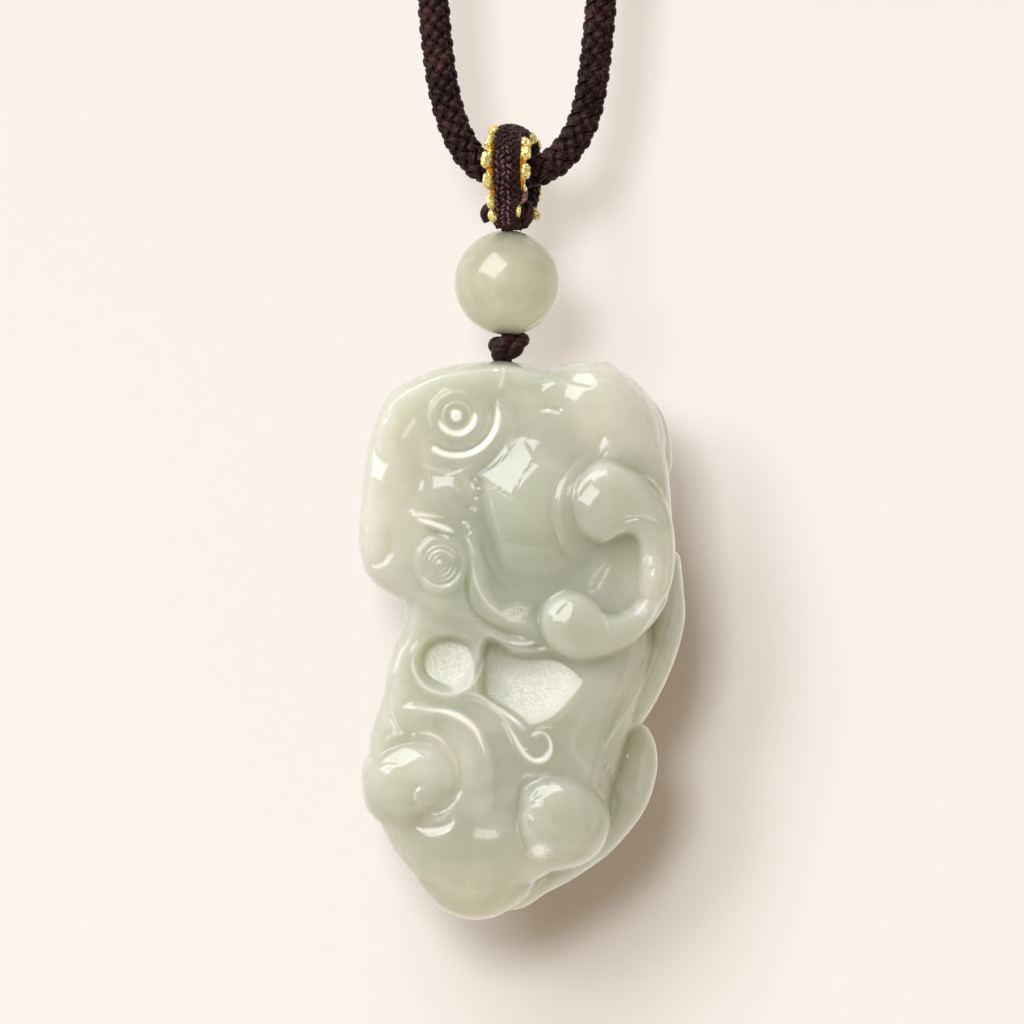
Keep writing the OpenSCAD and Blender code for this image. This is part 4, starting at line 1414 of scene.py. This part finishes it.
def surface_net(values):
    """Corners (in cells) and quads of the surface where sampled values change sign."""
    cells = tuple(np.array(values.shape) - 1)
    total, count = np.zeros(cells + (3,)), np.zeros(cells)
    edges = []
    for axis in range(3):
        others = [k for k in range(3) if k != axis]
        a, b = (values.take(range(k, cells[axis] + k), axis) for k in (0, 1))
        cross = (a > 0) != (b > 0)
        t = np.where(cross, a / np.where(cross, a - b, 1), 0)
        edges.append((cross, a > 0))
        for shift in np.ndindex(2, 2):
            cut = [slice(None)] * 3
            for other, d in zip(others, shift):
                cut[other] = slice(d, d + cells[other])
            hit = cross[tuple(cut)].astype(float)
            total[..., axis] += t[tuple(cut)] * hit
            for other, d in zip(others, shift):
                total[..., other] += d * hit
            count += hit
    used = count > 0
    number = np.full(cells, -1)
    number[used] = np.arange(used.sum())
    quads = []
    for axis, (cross, first_in) in enumerate(edges):
        at = np.argwhere(cross)
        o0, o1 = [k for k in range(3) if k != axis]
        at = at[(at[:, o0] > 0) & (at[:, o1] > 0) & (at[:, o0] < cells[o0]) & (at[:, o1] < cells[o1])]
        ring = []
        for d0, d1 in ((1, 1), (0, 1), (0, 0), (1, 0)):
            c = at.copy()
            c[:, o0] -= d0
            c[:, o1] -= d1
            ring.append(number[tuple(c.T)])
        quad = np.stack(ring, -1)
        flip = first_in[tuple(at.T)] == (axis == 1)
        quad[flip] = quad[flip][:, ::-1]
        quads.append(quad)
    return np.argwhere(used) + total[used] / count[used][:, None], np.vstack(quads)


CELL = 3.6
FINEST = 1.7
LONGEST_FINE = 1.45 * FINEST
BEND_ALLOWED = 0.93
# Triangles that one is split into, by how many of its sides are cut. Corners are 0 to 2, and 3 to 5
# are the middles of the sides 0-1, 1-2 and 2-0. With one cut it is the first side, and with two the
# first is whole.
SPLITS = [
    [(0, 1, 2)],
    [(0, 3, 2), (3, 1, 2)],
    [(0, 1, 5), (1, 4, 5), (4, 2, 5)],
    [(0, 3, 5), (3, 1, 4), (5, 4, 2), (3, 4, 5)],
]


def split_long(corners, triangles, allowed, facing):
    """Splits each edge that is longer than it may be, or that bends much."""
    sides = np.sort(triangles[:, [[0, 1], [1, 2], [2, 0]]].reshape(-1, 2), axis=1)
    edges, back = np.unique(sides, axis=0, return_inverse=True)
    first, second = edges.T
    long = np.linalg.norm(corners[first] - corners[second], axis=1)
    bent = (facing[first] * facing[second]).sum(1) < BEND_ALLOWED
    cut = (long > np.minimum(allowed[first], allowed[second])) | (bent & (long > LONGEST_FINE))
    middle = np.full(len(edges), -1)
    middle[cut] = len(corners) + np.arange(cut.sum())
    middles = middle[back.reshape(-1, 3)]
    is_cut = middles >= 0
    cuts = is_cut.sum(1)
    turn = np.select([cuts == 1, cuts == 2], [np.argmax(is_cut, 1), np.argmin(is_cut, 1)], 0)
    order = (turn[:, None] + np.arange(3)) % 3
    six = np.hstack([np.take_along_axis(a, order, 1) for a in (triangles, middles)])
    out = [six[cuts == n][:, piece] for n, pieces in enumerate(SPLITS) for piece in pieces]
    added = (corners[first[cut]] + corners[second[cut]]) / 2
    return np.vstack([corners, added]), np.vstack(out)


def frontal(depth):
    """1 on the front of the stone, easing to 0 on its back."""
    return smooth((5 - depth) / 15)


def make_stone():
    """Nets the field coarsely, settles the net on it, and splits it where the carving is fine."""
    stone = Stone()
    xs = np.arange(CHART_LEFT + 4, CHART_RIGHT - 4, CELL)
    ys = np.arange(CHART_TOP + 6, CHART_FOOT - 6, CELL)
    ds = np.arange(-STONE_DEPTH, STONE_DEPTH, CELL)
    grid = np.meshgrid(xs, ys, ds, indexing="ij")
    cells, quads = surface_net(stone.field(*(g.ravel() for g in grid)).reshape(grid[0].shape))
    p = stone.settle(np.array([xs[0], ys[0], ds[0]]) + cells * CELL, 3)
    triangles = np.vstack([quads[:, [0, 1, 2]], quads[:, [0, 2, 3]]])
    curl = soften(np.abs(stone.front - soften(stone.front, 8)) + stone.face.pale, 4)
    rear = soften(np.abs(stone.back - soften(stone.back, 8)), 4)
    for _ in range(2):
        x, y, depth = p.T
        busy = (smooth(lookup(curl, x, y) / 0.5) * frontal(depth)
                + 0.5 * smooth(lookup(rear, x, y) / 0.5) * frontal(-depth))
        before = len(p)
        allowed = 2 * CELL - (2 * CELL - LONGEST_FINE) * busy
        p, triangles = split_long(p, triangles, allowed, unit(stone.slope(p)))
        p[before:] = stone.settle(p[before:], 2)
    x, y, depth = p.T
    normals = unit(-stone.slope(p) * np.array([1, -1, 1]))[:, [0, 2, 1]]
    corners = np.stack([photo_x(x), depth / PX_PER_MM, photo_z(y)], -1)
    values = {"pale": lookup(stone.face.pale, x, y) * frontal(depth),
              "frost": lookup(stone.face.frost, x, y) * frontal(depth)}
    shape = (corners, np.zeros((0, 4), int), triangles)
    add_piece("pixiu_stone", shape, stone_jade, "jade_pixiu", normals, values)


cord_line = CordLine()
make_neck_cord(cord_line)
make_cord_join(cord_line)
make_bail_band()
make_gold_edges()
make_thread_ends()
make_tie_thread()
make_bead()
make_stone()


# Stage and lights

WALL_Y = 85.0
WALL_TOP = 900.0
WALL_HALF = 600.0
FLOOR_Z = -700.0
FLOOR_FRONT = -500.0
SWEEP = 200.0


def backdrop_material():
    """Matt cream paper that a view from behind looks through."""
    m = Nodes("backdrop")
    colour = m.ramp(m.noise(9.0, 2.0), (0.3, (0.92, 0.865, 0.80)), (0.7, (0.94, 0.885, 0.82)))
    grain = m.bump(m.noise(900.0, 3.0, 0.6), 0.12, 0.0003)
    paper = m.add("ShaderNodeBsdfPrincipled", {"Base Color": colour, "Roughness": 0.9, "Normal": grain})
    clear = m.add("ShaderNodeBsdfTransparent")
    behind = m.add("ShaderNodeNewGeometry").outputs["Backfacing"]
    mixed = m.add("ShaderNodeMixShader", {0: behind, 1: paper.outputs[0], 2: clear.outputs[0]})
    m.tree.links.new(mixed.outputs[0], m.output.inputs[0])
    return m.material


def make_stage():
    """Wall and floor in one sweep behind and under the pendant."""
    bend = [(WALL_Y - SWEEP + SWEEP * np.cos(t), FLOOR_Z + SWEEP - SWEEP * np.sin(t))
            for t in np.linspace(0, np.pi / 2, 17)]
    side = [(WALL_Y, WALL_TOP)] + bend + [(FLOOR_FRONT, FLOOR_Z)]
    corners = [(x * MM, y * MM, z * MM) for y, z in side for x in (WALL_HALF, -WALL_HALF)]
    faces = [(2 * k, 2 * k + 1, 2 * k + 3, 2 * k + 2) for k in range(len(side) - 1)]
    mesh = bpy.data.meshes.new("backdrop")
    mesh.from_pydata(corners, [], faces)
    mesh.polygons.foreach_set("use_smooth", np.ones(len(faces), bool))
    mesh.materials.append(backdrop_material())
    sweep = bpy.data.objects.new("backdrop", mesh)
    bpy.context.scene.collection.objects.link(sweep)
    return sweep


def group_of(name, things):
    group = bpy.data.collections.new(name)
    for thing in things:
        group.objects.link(thing)
    return group


def area_light(name, place, size, power, colour, lit, shading=None, edge=(0, 0, 1)):
    """A square lamp that faces the drop, placed in millimetres from the middle of the view, with one
    side along an edge. It lights just some things, and with shading named only those shade it."""
    light = bpy.data.lights.new(name, "AREA")
    light.shape = "SQUARE"
    light.size = size * MM
    light.energy = power
    light.color = colour
    lamp = bpy.data.objects.new(name, light)
    z = Vector(place).normalized()
    x = Vector(edge)
    x = (x - z * x.dot(z)).normalized()
    middle = Vector((0, 0, VIEW_Z))
    turn = Matrix((x, z.cross(x), z)).transposed().to_4x4()
    lamp.matrix_world = Matrix.Translation((Vector(place) + middle) * MM) @ turn
    bpy.context.scene.collection.objects.link(lamp)
    lamp.light_linking.receiver_collection = group_of(name + "_lit", lit)
    if shading is not None:
        lamp.light_linking.blocker_collection = group_of(name + "_shading", shading)
    return lamp


ROOM_LIGHT = (1.0, 0.78, 0.52, 1)
ROOM_STRENGTH = 0.135
PAPER_SEEN = (0.93, 0.875, 0.81, 1)


def make_world():
    """A dim warm room, and cream past the paper's edge for the camera."""
    world = bpy.data.worlds.new("studio")
    world.use_nodes = True
    tree = world.node_tree
    room = tree.nodes["Background"]
    room.inputs[0].default_value = ROOM_LIGHT
    room.inputs[1].default_value = ROOM_STRENGTH
    seen = tree.nodes.new("ShaderNodeBackground")
    seen.inputs[0].default_value = PAPER_SEEN
    path = tree.nodes.new("ShaderNodeLightPath")
    mixed = tree.nodes.new("ShaderNodeMixShader")
    tree.links.new(path.outputs["Is Camera Ray"], mixed.inputs[0])
    tree.links.new(room.outputs[0], mixed.inputs[1])
    tree.links.new(seen.outputs[0], mixed.inputs[2])
    tree.links.new(mixed.outputs[0], tree.nodes["World Output"].inputs[0])
    bpy.context.scene.world = world


WHITE = (0.98, 0.985, 1.0)
COOL = (0.925, 0.975, 1.055)
ORANGE = (1.0, 0.55, 0.04)
TABLE_GLOW = (1.0, 0.95, 0.86)
BEAD_GLOW = (1.0, 0.97, 0.86)
GLOW_AWAY = 560


def make_lights(paper):
    parts = [o for o in bpy.context.scene.objects if o.type == "MESH" and o is not paper]
    drop = [o for o in parts if not o.name.startswith(("neck", "join"))]
    stone = [o for o in drop if o.name == "pixiu_stone"]
    bead = [o for o in drop if o.name == "jade_bead"]
    shiny = [o for o in drop if o.name.startswith(("pixiu", "gold"))]
    # the softbox up and to the left, whose reflection shows on the bead
    area_light("softbox", (-338, -452, 414), 590, 6.7, WHITE, parts, edge=(1.026, 0.208, 1.129))
    # its light on the paper comes from nearer the camera, which gives the shadow its short throw
    area_light("paper_light_wide", (-88, -800, 136), 172, 2.8, COOL, [paper], stone)
    area_light("paper_light_left", (-107, -800, 59), 50, 0.75, COOL, [paper], drop)
    area_light("paper_light_near", (-32, -800, 44), 46, 2.7, COOL, [paper])
    # the warm light of the room that fills the shadow, with nothing in its way
    area_light("paper_warmth", (0, -900, 0), 900, 0.7, ORANGE, [paper], [])
    # what a pale table throws back on the shaded side, and up at the bead
    area_light("fill", (520, -620, -260), 700, 2.85, TABLE_GLOW, parts).visible_glossy = False
    area_light("bead_fill", (160, -420, -420), 500, 4.9, BEAD_GLOW, bead).visible_glossy = False
    # pale surroundings that only the steep sides of the carving and the gold mirror
    for number, (x, z) in enumerate(((-1, 0), (1, 0), (0, 1), (0, -1))):
        place = (GLOW_AWAY * x, 10, GLOW_AWAY * z)
        area_light(f"side_glow_{number + 1}", place, 620, 1.3, WHITE, shiny).visible_diffuse = False


make_world()
make_lights(make_stage())
bpy.context.scene.view_settings.view_transform = "Standard"
